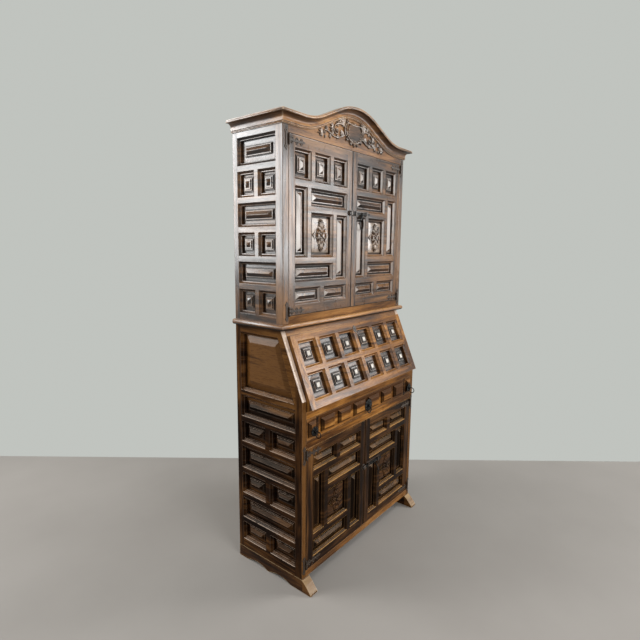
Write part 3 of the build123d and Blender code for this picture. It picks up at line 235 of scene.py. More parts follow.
def walnut(name, shades, upright=None, light=None, tops=0.08, patchy=0.5, polish=0.34, coat=0.6, shine=None,
           gloss=0.5, glint=CLEAR, edge_wear_and_highlight=0.5, ridge_highlight=0.0, flank_highlight=0.0, pale_highlight=None, wear_and_highlight_colour=(0.30, 0.16, 0.07),
           hollow=0.022, under=0.75, crease=0.0, below=0.0, aside=0.0, steps=None, dull=0.8):
    """Old polished walnut.

    Colour: upright(x, y, z) is 1 where the grain stands and 0 where it lies, light(x, y, z) is added to the
    tone from place to place, partly the wood's own tone and partly painted light and shade, and tops is a
    painted highlight added on faces that look up.
    Sheen: polish is the roughness, coat the wax, patchy its share in dull patches and shine(x, y, z, up) its
    share from place to place, where up is 1 on faces that look up.  gloss and glint are the wood's own.
    Pale marks, in the colour wear_and_highlight_colour, partly wood rubbed pale and partly painted highlight:
    edge_wear_and_highlight is their share on sharp edges, ridge_highlight a painted highlight on the edges of
    faces that look up, flank_highlight a painted highlight on slopes that look left, and pale_highlight(x, y,
    z, up) a painted highlight elsewhere.
    Painted shade and grime reach hollow out of corners, and painted shade lies on faces that look down by the
    share under.  Deeper painted shade reaches crease out of corners, lies on faces that look down by the
    share below and on faces that look left by the share aside, and by the share dull where steps(x, y, z) is
    1.
    """
    wood = Finish(name, Coat_Roughness=0.2, Specular_IOR_Level=gloss, Specular_Tint=(*glint, 1.0))
    x, y, z = wood.axes(wood.place)
    right, _, lean = wood.facing()
    up = lean.ramp(0.2, 1.0)
    down = (-lean).ramp(0.12, 0.6)

    grain = wood.point(x * ALONG_GRAIN, y * ALONG_GRAIN, z)
    if upright is not None:
        grain = wood.pick(upright(x, y, z), grain, wood.point(x, y, z * ALONG_GRAIN))
    cloud = wood.noise(wood.place, CLOUD_SCALE, 2.0)
    figure = wood.noise(grain, FIGURE_SCALE, 4.0, 0.62, 0.9)
    streak = wood.noise(wood.shifted(grain, (3.0, 7.0, 1.0)), STREAK_SCALE, 3.0, 0.55, 1.6)
    pores = wood.noise(wood.shifted(grain, (1.0, 2.0, 5.0)), PORE_SCALE, 2.0, 0.6)
    patches = wood.noise(wood.shifted(grain, (5.0, 1.0, 8.0)), PATCH_SCALE, 4.0, 0.6, 1.2)

    # tops paints a highlight on faces that look up; light shifts the tone, partly with painted light and
    # shade.
    tone = figure * 0.6 + streak * 0.7 + (cloud - 0.5) * 0.55 - 0.125 + up * tops
    if light is not None:
        tone = tone + light(x, y, z)
    flecks = pores.ramp(0.52, 0.66)
    colour = wood.tint(wood.colours(tone, shades), PORE, flecks * 0.6)

    # Pale marks, partly wear and partly painted highlight, on sharp edges, on edges that look up, on slopes
    # that look left and elsewhere as a given function says.
    paled = wood.edge(PALE_EDGE_REACH).ramp(0.10, 0.34) * wood.noise(wood.place, PALE_EDGE_SCALE).ramp(0.25, 0.50)
    paled = paled * (up * ridge_highlight + edge_wear_and_highlight)
    if pale_highlight is not None:
        paled = paled.most(pale_highlight(x, y, z, up) * streak.ramp(0.36, 0.62, 0.4, 1.0))
    if flank_highlight:
        slopes = (-right).ramp(0.30, 0.50) * (-right).ramp(0.92, 0.78)
        paled = paled.most(slopes * patches.ramp(0.30, 0.52, 0.35, 1.0) * flank_highlight)
    colour = wood.pick(paled, colour, (*wear_and_highlight_colour, 1.0))

    # Painted shade and grime in corners and recesses, and painted shade on faces that look down.
    free_of_shade_and_grime = wood.hollow(hollow).ramp(0.22, 0.75) * (1.0 - down * under)
    colour = wood.tint(colour, SHADE_AND_GRIME, 1.0 - free_of_shade_and_grime)
    # Deeper painted shade on faces that look down, in the inner corners of steps, on faces that look left and
    # on marked steps.
    out_of_deep_shade = 1.0 - down * below
    if crease:
        out_of_deep_shade = out_of_deep_shade * wood.hollow(crease).ramp(0.50, 0.92)
    if aside:
        out_of_deep_shade = out_of_deep_shade * (1.0 - (-right).ramp(0.25, 0.7) * aside)
    if steps is not None:
        out_of_deep_shade = out_of_deep_shade * (1.0 - steps(x, y, z) * dull)
    wood.to("Base Color", wood.tint(colour, DEEP_SHADE, 1.0 - out_of_deep_shade))

    open_wood = free_of_shade_and_grime * out_of_deep_shade
    rubbed = wood.noise(wood.place, RUB_SCALE)
    wood.to("Roughness", polish + (rubbed - 0.5) * 0.22 + flecks * 0.15 + (1.0 - open_wood) * 0.3)
    waxed = open_wood * patches.ramp(0.40, 0.58, patchy, 1.0) * coat
    if shine is not None:
        waxed = waxed * shine(x, y, z, up)
    wood.to("Coat Weight", waxed)
    wood.bump(figure * 0.5 + pores * 0.25 + cloud * 1.5, 0.5 * MM, 0.35)
    return wood.material


def forged_iron(name, dark, pale, paled, metal, wax):
    """Hammered iron, dark in the hollows and rubbed on the edges."""
    iron = Finish(name, Specular_IOR_Level=0.3, Coat_Weight=wax, Coat_Roughness=0.25)
    hammer = iron.noise(iron.place, 160.0, 2.0)
    scale = iron.noise(iron.place, 620.0)
    rubbed = iron.edge(0.8 * MM).ramp(0.2, 0.6)
    colour = iron.colours(hammer, [(0.3, dark), (0.7, pale)])
    iron.to("Base Color", iron.pick(rubbed * 0.6, colour, (*paled, 1.0)))
    iron.to("Metallic", hammer.ramp(0.3, 0.7, metal * 0.8, metal))
    iron.to("Roughness", 0.42 + (scale - 0.5) * 0.3 - rubbed * 0.12)
    iron.bump(hammer * 0.8 + scale * 0.2, 0.6 * MM, 0.6)
    return iron.material


# ---------------------------------------------------------------------- carving
SHARP_EDGE = math.radians(35.0)
SIDES = (("left", -1), ("right", 1))


def add_piece(name, data, material, body, replaced=None):
    """Puts a new mesh or curve in the scene and ties it to its body."""
    piece = bpy.data.objects.new(name, data)
    bpy.context.scene.collection.objects.link(piece)
    data.materials.append(material)
    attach(piece, body)
    if replaced:
        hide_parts(replaced)
    return piece


class Relief:
    """Carving on an upright board, in millimetres: u across, v up and w out of the board."""

    def __init__(self, x, face_y, z):
        turn = Matrix.Rotation(math.radians(90.0), 4, "X")
        self.place = Matrix.Translation((x, face_y, z)) @ turn @ Matrix.Scale(MM, 4)
        self.mesh = bmesh.new()
        self.curve = None

    def lobe(self, u, v, length, width, height, heading, lift=0.0, taper=0.35):
        """One rounded leaf that starts at u, v and points along its heading."""
        lying = Matrix.Rotation(math.radians(90.0), 4, "Y")
        made = bmesh.ops.create_uvsphere(self.mesh, u_segments=10, v_segments=7, radius=1.0, matrix=lying)
        for vert in made["verts"]:
            vert.co.y *= 1.0 - taper * vert.co.x
        size = Matrix.Diagonal((length / 2, width / 2, height, 1.0))
        turn = Matrix.Rotation(math.radians(heading), 4, "Z")
        foot = Matrix.Translation((length / 2, 0, 0))
        matrix = self.place @ Matrix.Translation((u, v, lift)) @ turn @ foot @ size
        bmesh.ops.transform(self.mesh, matrix=matrix, verts=made["verts"])

    def leaf(self, u, v, heading, size, side=1, lobes=5, spread=110.0, height=5.0, lift=1.0):
        """A fan of lobes, longest in its middle."""
        for i in range(lobes):
            share = 2.0 * i / (lobes - 1) - 1.0
            length = size * (1.0 - 0.38 * abs(share))
            turned = heading + share * spread / 2
            self.lobe(u, v, length, size * 0.34, height * (1.0 - 0.3 * abs(share)),
                      turned if side > 0 else 180.0 - turned, lift)

    def lens(self, u, v, wide, high, height, top, point):
        """A raised oval field; point draws its upper and lower ends to a tip."""
        made = bmesh.ops.create_cone(self.mesh, cap_ends=True, segments=32, radius1=1.0, radius2=top,
                                     depth=1.0)
        for vert in made["verts"]:
            vert.co.x *= 1.0 - point * abs(vert.co.y)
        size = Matrix.Diagonal((wide, high, height, 1.0))
        matrix = self.place @ Matrix.Translation((u, v, height / 2)) @ size
        bmesh.ops.transform(self.mesh, matrix=matrix, verts=made["verts"])

    def pyramid(self, u, v, wide, high, height):
        """A low four-sided point over a rectangle."""
        turn = Matrix.Rotation(math.radians(45.0), 4, "Z")
        size = Matrix.Diagonal((wide, high, 1.0, 1.0))
        matrix = self.place @ Matrix.Translation((u, v, height / 2)) @ size @ turn
        bmesh.ops.create_cone(self.mesh, cap_ends=True, segments=4, radius1=math.sqrt(2.0), radius2=0.0,
                              depth=height, matrix=matrix)

    def bead(self, u, v, radius, lift=0.0):
        matrix = self.place @ Matrix.Translation((u, v, lift))
        bmesh.ops.create_icosphere(self.mesh, subdivisions=2, radius=radius, matrix=matrix)

    def stem(self, points, width, tip, lift=2.0):
        """A round stem through u, v points, thinning from its width to its tip."""
        if self.curve is None:
            self.curve = bpy.data.curves.new("stems", "CURVE")
            self.curve.dimensions = "3D"
            self.curve.bevel_depth = MM
            self.curve.bevel_resolution = 2
            self.curve.resolution_u = 6
            self.curve.use_fill_caps = True
        spline = self.curve.splines.new("NURBS")
        spline.points.add(len(points) - 1)
        for i, (point, (u, v)) in enumerate(zip(spline.points, points)):
            share = i / (len(points) - 1)
            point.co = (*(self.place @ Vector((u, v, lift))), 1.0)
            point.radius = width + (tip - width) * share
        spline.order_u = 4
        spline.use_endpoint_u = True

    def finish(self, name, material, body, slot, replaced=None):
        """Turns the carving into a piece, with its stems as a second one."""
        data = bpy.data.meshes.new(name)
        for face in self.mesh.faces:
            face.smooth = True
        for edge in self.mesh.edges:
            edge.smooth = edge.calc_face_angle(0.0) < SHARP_EDGE
        self.mesh.to_mesh(data)
        self.mesh.free()
        add_piece(name, data, material, body, replaced)
        if self.curve:
            add_piece(name + "_stems", self.curve, material, body)


def volute(u, v, radius, start, turns, steps=7):
    """Points that wind in towards u, v from a starting angle."""
    count = int(abs(turns) * steps)
    points = []
    for i in range(count + 1):
        share = i / count
        angle = math.radians(start + 360.0 * turns * share)
        reach = radius * (1.0 - 0.72 * share)
        points.append((u + reach * math.cos(angle), v + reach * math.sin(angle)))
    return points


def sided(points, side):
    return [(side * u, v) for u, v in points]


def around(count, start=0.5):
    """Angles of a ring of petals or beads."""
    return [2 * math.pi * (i + start) / count for i in range(count)]


def carve_pediment(carved, shield):
    """A cartouche between two trains of scrolling acanthus."""
    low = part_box("pediment_board")[0]
    field = Relief(0.0, low.y, low.z)
    field.lens(0, 68, 58, 50, 7.5, 0.86, 0.0)
    field.finish("pediment_shield", shield, "carcase", "walnut")
    relief = Relief(0.0, low.y, low.z)
    carve_cartouche(relief)
    for side in (-1, 1):
        carve_scrolls(relief, side)
    relief.finish("pediment_relief", carved, "carcase", "walnut", "pediment_carving")


def carve_cartouche(relief):
    """The shield's rolled rim, the beads along its foot and the leaves under it."""
    crest = [(-24, 104), (0, 99), (24, 104)]
    relief.stem(volute(-50, 112, 9, -60, -0.9)[::-1] + crest + volute(50, 112, 9, 240, 0.9), 3.0, 3.0, 7.0)
    for side in (-1, 1):
        rim = [(46, 108), (56, 92), (60, 76), (57, 60), (46, 46), (30, 36), (12, 31)]
        relief.stem(sided(rim, side), 3.8, 2.6, 6.0)
        outer = [(52, 104), (64, 96), (72, 82), (68, 66)] + volute(60, 58, 9, 30, -0.9)
        relief.stem(sided(outer, side), 3.0, 1.8, 5.0)
        relief.leaf(side * 20, 34, -62, 20, side, 4, 90, 7.0)
        relief.leaf(side * 44, 46, -35, 22, side, 4, 80, 7.0)
        for step in range(6):
            angle = math.radians(-84 + 20 * step)
            relief.bead(side * 46 * math.cos(angle), 70 + 34 * math.sin(angle), 3.8, 7.5)
    relief.leaf(0, 34, -90, 22, 1, 3, 60, 8.0)
    relief.bead(0, 108, 5.0, 5.0)


def carve_scrolls(relief, side):
    """One side's acanthus: a leaf over the shield's shoulder, a great scroll and a small one."""
    great = [(60, 84), (84, 92), (112, 92), (138, 80)] + volute(126, 60, 19, 25, -1.1)
    relief.stem(sided(great, side), 3.2, 1.8, 3.5)
    relief.bead(side * 126, 60, 5.0, 4.0)
    low = [(70, 52), (92, 40), (118, 32), (150, 34), (176, 46), (196, 50)] + volute(202, 41, 9, 80, -1.0)
    relief.stem(sided(low, side), 2.8, 1.6, 3.5)
    relief.bead(side * 202, 41, 3.4, 4.0)
    relief.leaf(side * 62, 100, 12, 46, side, 5, 95, 6.0)
    relief.leaf(side * 92, 104, -8, 30, side, 4, 80, 5.5)
    relief.leaf(side * 108, 84, 32, 26, side, 4, 90, 5.5)
    relief.leaf(side * 144, 70, 5, 32, side, 4, 100, 5.5)
    relief.leaf(side * 84, 66, -75, 30, side, 5, 100, 6.0)
    relief.leaf(side * 118, 44, -100, 20, side, 4, 100, 5.0)
    relief.leaf(side * 150, 38, 60, 28, side, 5, 110, 5.5)
    relief.leaf(side * 164, 38, -62, 20, side, 4, 90, 5.0)
    relief.leaf(side * 186, 50, 48, 22, side, 4, 90, 5.0)
    relief.leaf(side * 212, 38, -12, 36, side, 5, 90, 6.0)
    relief.leaf(side * 196, 30, -60, 16, side, 3, 70, 4.5)


# The carved block of a right-hand door, from its lower left to its upper right corner.
CARVED_BLOCK = {"upper": ((0.1536, 1.3675), (0.2618, 1.5065)), "lower": ((0.1536, 0.2390), (0.2613, 0.3590))}
PLINTH_DEPTH = 14 * MM


def carve_door(level, side, way, carved, shaded):
    """The carved block in the middle of a door: four sloping corners and a long rosette."""
    low, high = CARVED_BLOCK[level]
    name = "%s_%s_door" % (level, side)
    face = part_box(name + "_frame")[0].y + PLINTH_DEPTH
    middle = way * (low[0] + high[0]) / 2, face, (low[1] + high[1]) / 2
    half_width, half_height = (high[0] - low[0]) / 2 / MM, (high[1] - low[1]) / 2 / MM
    wide, tall = half_width * 0.70, half_height * 0.97
    corners = Relief(*middle)
    for u in (-1, 1):
        for v in (-1, 1):
            corners.pyramid(u * half_width / 2, v * half_height / 2, half_width / 2, half_height / 2, 7.5)
    corners.finish(name + "_corners", carved, name, "walnut")
    field = Relief(*middle)
    field.lens(0, 0, wide, tall, 6.5, 0.92, 0.42)
    field.finish(name + "_field", shaded, name, "walnut")
    relief = Relief(*middle)
    carve_rosette(relief, wide, tall)
    relief.finish(name + "_carving", carved, name, "walnut")


def carve_rosette(relief, wide, tall):
    """Two rings of petals round a boss, leaves above and below them, and a beaded rim."""
    for ring, petals in ((0.40, 12), (0.14, 8)):
        for angle in around(petals):
            u, v = math.cos(angle), math.sin(angle) * tall / wide
            heading = math.degrees(math.atan2(v, u))
            size = 0.4 * wide * math.hypot(u, v)
            lift = 8.5 - 5.0 * ring
            relief.lobe(u * ring * wide, v * ring * wide, size, size * 0.5, 4.5, heading, lift, -0.3)
    relief.bead(0, 0, 6.0, 9.0)
    for v in (-1, 1):
        relief.leaf(0, v * tall * 0.50, v * 90, tall * 0.42, 1, 5, 80, 4.5, 6.5)
        for u in (-1, 1):
            heading = 90 * v - 28 * u * v
            relief.leaf(u * wide * 0.30, v * tall * 0.36, heading, tall * 0.26, 1, 3, 60, 4.0, 6.5)
    for angle in around(22):
        u = math.cos(angle) * wide * 0.93 * (1.0 - 0.42 * abs(math.sin(angle)))
        relief.bead(u, math.sin(angle) * tall * 0.93, 2.6, 7.2)


ROSETTE_FACE = -0.178


def chase_rosette(node, body, iron):
    """Leaves chased round a ring pull's plate, behind the ring."""
    low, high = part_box(node)
    relief = Relief((low.x + high.x) / 2, ROSETTE_FACE, (low.z + high.z) / 2)
    across, up = (high.x - low.x) / 2 / MM, (high.z - low.z) / 2 / MM
    for angle in around(8, 0.0):
        u, v = math.cos(angle), math.sin(angle) * up / across
        heading = math.degrees(math.atan2(v, u))
        size = across * 0.50 * math.hypot(u, v)
        relief.lobe(u * across * 0.42, v * across * 0.42, size, size * 0.6, 1.5, heading, 0.0, -0.3)
    relief.finish(node + "_leaves", iron, body, "wrought_iron")


NAIL_RADIUS = 2.2
STRAP_NAILS = (33.0, 59.0, 84.0)
STRAP_THICKNESS = 2 * MM
STRAP_HEIGHTS = {"upper": (1.140, 1.781), "lower": (0.109, 0.5805)}


def nail_straps(level, side, way, iron):
    """Nail heads along the two straps of a door."""
    name = "%s_%s_door" % (level, side)
    low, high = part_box(name + "_frame")
    hinge = low.x if side == "left" else high.x
    relief = Relief(hinge, low.y - STRAP_THICKNESS, 0.0)
    for height in STRAP_HEIGHTS[level]:
        for reach in STRAP_NAILS:
            relief.bead(-way * reach, height / MM, NAIL_RADIUS, -0.8)
    relief.finish(name + "_nails", iron, name, "wrought_iron")


def dress_cabinet(black, brown):
    """Adds the carving, the rosettes' leaves and the straps' nails."""
    bright = walnut("walnut_carving", BROWN, polish=0.22, coat=1.0, gloss=0.4, wear_and_highlight_colour=(0.46, 0.36, 0.28),
                    hollow=0.010, crease=0.006)
    # The lower doors' carving is a darker copy of the same carving, partly painted shade.
    dull = walnut("walnut_dull_carving", DARK, polish=0.36, coat=0.1, gloss=0.10, edge_wear_and_highlight=0.04, ridge_highlight=0.3,
                  hollow=0.014, crease=0.006)
    shield = walnut("walnut_shield", DARK, polish=0.36, coat=0.4, gloss=0.3, edge_wear_and_highlight=0.6, hollow=0.010)
    # The dark matte ground of the door rosettes is painted shade for the hollows among the carving.
    shaded = walnut("walnut_shaded_field", DARK, polish=0.5, coat=0.05, gloss=0.06, edge_wear_and_highlight=0.03, hollow=0.010)
    carve_pediment(bright, shield)
    for level, carved in (("upper", bright), ("lower", dull)):
        for side, way in SIDES:
            carve_door(level, side, way, carved, shaded)
    chase_rosette("drawer_rosette", "drawer", black)
    for side, _ in SIDES:
        chase_rosette("support_rosette_" + side, "support_" + side, black)
    for level in ("upper", "lower"):
        for side, way in SIDES:
            nail_straps(level, side, way, brown)


# ------------------------------------------------------------ camera and stage
CAMERA_PLACE = (-1.7251, -1.2792, 1.3822)
CAMERA_HEADING = 51.11
CAMERA_PITCH = 8.723
CAMERA_ROLL = 0.508
CAMERA_LENS = 26.056
FRAME_WIDTH = 36.0

FLOOR_REACH = 2.91              # from the camera to the floor's far edge
FLOOR_HALF_WIDTH = 2.7
FLOOR_HALF_DEPTH = 5.0
FLOOR_SHADES = [(0.3, (0.365, 0.338, 0.312)), (0.7, (0.402, 0.374, 0.346))]

SURROUND = (0.53, 0.55, 0.52, 1.0)
SURROUND_LIGHT = 0.35           # the surround's strength where it isn't seen, only lights


def place_camera():
    data = bpy.data.cameras.new("camera")
    data.lens = CAMERA_LENS
    data.sensor_width = FRAME_WIDTH
    camera = bpy.data.objects.new("camera", data)
    bpy.context.scene.collection.objects.link(camera)
    turn = Matrix.Rotation(math.radians(-CAMERA_HEADING), 4, "Z")
    tilt = Matrix.Rotation(math.radians(90.0 - CAMERA_PITCH), 4, "X")
    roll = Matrix.Rotation(math.radians(CAMERA_ROLL), 4, "Z")
    camera.matrix_world = Matrix.Translation(CAMERA_PLACE) @ turn @ tilt @ roll
    bpy.context.scene.camera = camera


def place_lamp(name, place, target, size, power):
    data = bpy.data.lights.new(name, "AREA")
    data.shape = "RECTANGLE"
    data.size, data.size_y = size
    data.energy = power
    lamp = bpy.data.objects.new(name, data)
    bpy.context.scene.collection.objects.link(lamp)
    way = Vector(target) - Vector(place)
    lamp.matrix_world = Matrix.Translation(place) @ way.to_track_quat("-Z", "Y").to_matrix().to_4x4()


def hang_lamps():
    """Soft lamps: two above, a window on the left and two in front."""
    place_lamp("ceiling_left", (-1.4, 2.1, 2.5), (-0.445, 0.0, 0.5), (1.1, 0.9), 26.0)
    place_lamp("ceiling_right", (2.3, -1.8, 3.9), (0.0, -0.164, 0.4), (1.6, 1.4), 50.0)
    place_lamp("window", (-2.51, 2.25, 1.92), (-0.445, 0.07, 1.6), (1.25, 1.6), 54.0)
    place_lamp("room", (2.75, -2.95, 1.75), (0.0, -0.1, 1.3), (1.6, 1.5), 56.0)
    place_lamp("front", (-0.9, -2.9, 1.85), (-0.1, -0.1, 1.5), (1.6, 0.8), 52.0)


def set_surround():
    """A pale surround, shown and mirrored at its full strength."""
    world = bpy.data.worlds.new("surround")
    world.use_nodes = True
    nodes = NodeTree(world.node_tree)
    rays = nodes.add("ShaderNodeLightPath", {}, {}).socket.node.outputs
    camera, glossy, through = [Flow(nodes, rays["Is %s Ray" % kind])
                               for kind in ("Camera", "Glossy", "Transmission")]
    seen = camera.most(glossy).most(through)
    background = world.node_tree.nodes["Background"]
    background.inputs["Color"].default_value = SURROUND
    nodes.feed(background, "Strength", seen * (1.0 - SURROUND_LIGHT) + SURROUND_LIGHT)
    bpy.context.scene.world = world


def lay_floor():
    """A plain pale floor that ends behind the cabinet."""
    turn = Matrix.Rotation(math.radians(-CAMERA_HEADING), 4, "Z")
    ahead = Matrix.Translation((0, FLOOR_REACH - FLOOR_HALF_DEPTH, -CAMERA_PLACE[2]))
    shape = Matrix.Diagonal((FLOOR_HALF_WIDTH, FLOOR_HALF_DEPTH, 1.0, 1.0))
    mesh = bmesh.new()
    bmesh.ops.create_grid(mesh, x_segments=1, y_segments=1, size=1.0,
                          matrix=Matrix.Translation(CAMERA_PLACE) @ turn @ ahead @ shape)
    data = bpy.data.meshes.new("floor")
    mesh.to_mesh(data)
    mesh.free()
    floor = bpy.data.objects.new("floor", data)
    bpy.context.scene.collection.objects.link(floor)
    stone = Finish("pale_floor", Roughness=0.7)
    stone.to("Base Color", stone.colours(stone.noise(stone.place, 2.0, 4.0), FLOOR_SHADES))
    data.materials.append(stone.material)


# -------------------------------------------------------- where the wood is paler or darker, and where light and shade are painted
# Where the floors of the coffers lie: y on the upper doors, x on the upper sides, and on the closed fall how
# far out it is the way the fall looks, which is to the front and up by the parts of FALL_LEAN.
UPPER_DOOR_FLOOR = -0.045
UPPER_SIDE_FLOOR = 0.425
FALL_FLOOR = 0.4591
FALL_LEAN = (0.92073, 0.39023)

# How far above its floor a coffer's first step starts and ends; that step takes painted shade.  On the fall
# it ends sooner, a third step takes the same painted shade, and the pyramids' tips, which take a painted
# highlight, stand over that.
STEP_FOOT = 1 * MM
STEP_TOP = 6.2 * MM
FALL_STEP_TOP = 4.2 * MM
FALL_THIRD_STEP = (7.5 * MM, 10.5 * MM)
FALL_TIP = 10.8 * MM

# The front of the lower case, the sloping edges of its sides, the boards beside its desk and the feet's toes.
BASE_FRONT_EDGE = -0.1625
SLANT_START = 0.801
SLANT_RUN = 108.5 / 256.0
DESK_HEIGHT = 0.775
TOE_EDGE = BASE_FRONT_EDGE - 4 * MM

# How far from the cabinet's middle a door's inner stile ends and its outer one starts, and the same for the
# tall blocks beside them.
DOOR_STILES = (0.038, 0.376)
TALL_BLOCKS = (0.1125, 0.3045)
MEETING_REACH = 3.4 * MM


def across(left, right, start, end):
    """Goes from start at the left to end at the right."""
    return lambda x, y, z, up=None: x.ramp(left, right, start, end)


def rising(low, high, start, end):
    """Goes from start at one height to end at another."""
    return lambda x, y, z, up=None: z.ramp(low, high, start, end)


def paler_middle(middle, fall):
    """A board that is palest in its middle."""
    return lambda x, y, z: middle - abs(x) * fall


def side_stiles(front, back):
    """Grain upright in the stiles at the front and back of a side, lying in its rails."""
    return lambda x, y, z: y.below(front).most(y.above(back))


def door_stiles(inner, outer):
    """Grain upright near the middle and the outer edge of the front, lying between them."""
    return lambda x, y, z: abs(x).below(inner).most(abs(x).above(outer))


def meeting_edge(x, y, z):
    """The edges where a pair of doors meet, painted dark as the shade of the gap between them."""
    return abs(x).below(MEETING_REACH)


def between(stand, low, high):
    return stand.above(low) * stand.below(high)


def upper_door_steps(x, y, z):
    """The lowest step round each block of an upper door, and by a share the floor of its coffer, which take
    painted shade.
    """
    stand = UPPER_DOOR_FLOOR - y
    return between(stand, STEP_FOOT, STEP_TOP).most(stand.below(STEP_FOOT) * 0.35)


def upper_side_steps(x, y, z):
    """The lowest step round each block of an upper side, which takes painted shade."""
    return between(abs(x) - UPPER_SIDE_FLOOR, STEP_FOOT, STEP_TOP)


def fall_stand(y, z):
    """How far a point of the closed fall stands above the floor of its coffers."""
    return z * FALL_LEAN[1] - y * FALL_LEAN[0] - FALL_FLOOR


def fall_steps(x, y, z):
    """The first and the third step of the fall's pyramids, which take painted shade."""
    stand = fall_stand(y, z)
    return between(stand, STEP_FOOT, FALL_STEP_TOP).most(between(stand, *FALL_THIRD_STEP))


def fall_tips(x, y, z, up):
    """The tips of the fall's pyramids, where a near-white highlight is painted."""
    return fall_stand(y, z).above(FALL_TIP) * 2.0


def on_slant(y, z):
    """The sloping front edge of a side of the lower case."""
    line = (z - SLANT_START) * SLANT_RUN + BASE_FRONT_EDGE
    return (y - line).below(0.0) * z.above(SLANT_START)


def on_toes(y):
    """The toes of the feet, in front of the lower case."""
    return y.below(TOE_EDGE)


def waxed_tops(x, y, z, up):
    """Wax left on the faces that look up."""
    return up ** 2.0 * 0.9 + 0.1


def upper_door_sheen(x, y, z, up):
    """Bright on the left, thinner on the right and thinnest at the right door's foot."""
    return x.ramp(-0.42, 0.30, 1.0, 0.40) * (1.0 - x.ramp(0.0, 0.3) * z.ramp(1.4, 1.15) * 0.5)


def cornice_sheen(x, y, z, up):
    return x.ramp(-0.44, -0.30, 1.0, 0.5).most(up)


def base_block_sheen(x, y, z, up):
    """Wax on the tops of the side's blocks and on its board beside the desk."""
    return (up ** 3.0 * 0.25).most(z.above(DESK_HEIGHT) * 0.25)


# A painted highlight on the faces that look up.
def base_block_highlight(x, y, z, up):
    return up ** 2.0 * 0.10


def base_side_sheen(x, y, z, up):
    return on_slant(y, z).most(up ** 3.0 * 0.25)


def base_side_highlight(x, y, z, up):
    """A painted highlight on the sloping edge, standing for its reflection, and a little on the faces that
    look up.
    """
    return (on_slant(y, z) * 1.8).most(up ** 2.0 * 0.10)


def base_side_tone(x, y, z):
    """Paler on the front edge and beside the desk."""
    return y.below(BASE_FRONT_EDGE) * 0.3 + z.ramp(0.70, 0.76, -0.05, 0.12)


def lower_door_tone(x, y, z):
    """Darker at the foot and on the right."""
    return z.ramp(0.35, 0.60, -0.07, 0.0) - x.ramp(0.0, 0.3) * 0.03


def lower_door_highlight(x, y, z, up):
    """A painted highlight on the faces that look up, most of all near the top."""
    return up ** 2.0 * z.ramp(0.1, 0.5, 0.15, 0.5)


def fall_tone(x, y, z):
    """Darker at the foot of the fall, most of all on its right."""
    return z.ramp(0.80, 0.95, -0.08, -0.04) + x.ramp(-0.1, 0.35) * z.ramp(0.80, 0.98, -0.08, 0.05)


def drawer_tone(x, y, z):
    """Palest in the middle, darker to the right, and darker along the top as a painted shadow of the fall."""
    return 0.12 - abs(x) * 0.4 - x.ramp(0.0, 0.3) * 0.15 - z.ramp(0.67, 0.70) * 0.26


# The toes painted paler, as a painted highlight.
def toe_light(x, y, z):
    return on_toes(y) * 0.2


def toe_sheen(x, y, z, up):
    return up


# A painted highlight on the toes' faces that look up.
def toe_highlight(x, y, z, up):
    return on_toes(y) * up


# ------------------------------------------------------------- frame's finishes
def upper_case_finishes():
    """Finishes of the upper case, its doors and its cornice, by the start of the node's name."""
    blocks = {"edge_wear_and_highlight": 0.6, "hollow": 0.012, "crease": 0.007}
    doors = {"light": across(-0.1, 0.3, 0.02, 0.05), "polish": 0.3, "coat": 1.0, "shine": upper_door_sheen,
             "gloss": 0.3, "wear_and_highlight_colour": (0.62, 0.55, 0.50)}
    door_blocks = dict(doors, upright=door_stiles(*TALL_BLOCKS), flank_highlight=0.9, steps=upper_door_steps, dull=0.9,
                       **blocks)
    door_frame = dict(doors, upright=door_stiles(*DOOR_STILES), edge_wear_and_highlight=0.3, steps=meeting_edge)
    return [
        ("upper_side_panels", walnut("walnut_upper_side_blocks", BROWN, polish=0.28, coat=1.0, gloss=0.35,
                                     steps=upper_side_steps, dull=0.7, **blocks)),
        ("upper_side", walnut("walnut_upper_side", BROWN, side_stiles(-0.028, 0.183),
                              rising(1.40, 1.15, 0.0, 0.05), polish=0.3, coat=1.0,
                              shine=rising(1.12, 1.42, 0.3, 1.0), gloss=0.4)),
        ("upper_left_door_panels", walnut("walnut_upper_left_blocks", BROWN, patchy=0.4, **door_blocks)),
        ("upper_right_door_panels", walnut("walnut_upper_right_blocks", BROWN, patchy=0.3, **door_blocks)),
        ("upper_left_door", walnut("walnut_upper_left_door", BROWN, patchy=0.45, flank_highlight=0.5, **door_frame)),
        ("upper_right_door", walnut("walnut_upper_right_door", BROWN, patchy=0.25, flank_highlight=0.6, **door_frame)),
        ("pediment", walnut("walnut_pediment", RUSSET, light=across(-0.42, -0.25, -0.04, 0.05), coat=0.8,
                            shine=across(-0.42, 0.30, 1.0, 0.35), gloss=0.3)),
        ("cornice", walnut("walnut_cornice", AMBER, light=across(-0.44, -0.43, 0.0, -0.03), polish=0.28,
                           coat=0.8, shine=cornice_sheen, gloss=0.4, edge_wear_and_highlight=0.6, wear_and_highlight_colour=(0.62, 0.44, 0.28),
                           hollow=0.03, under=0.4, crease=0.005, below=0.45)),
    ]


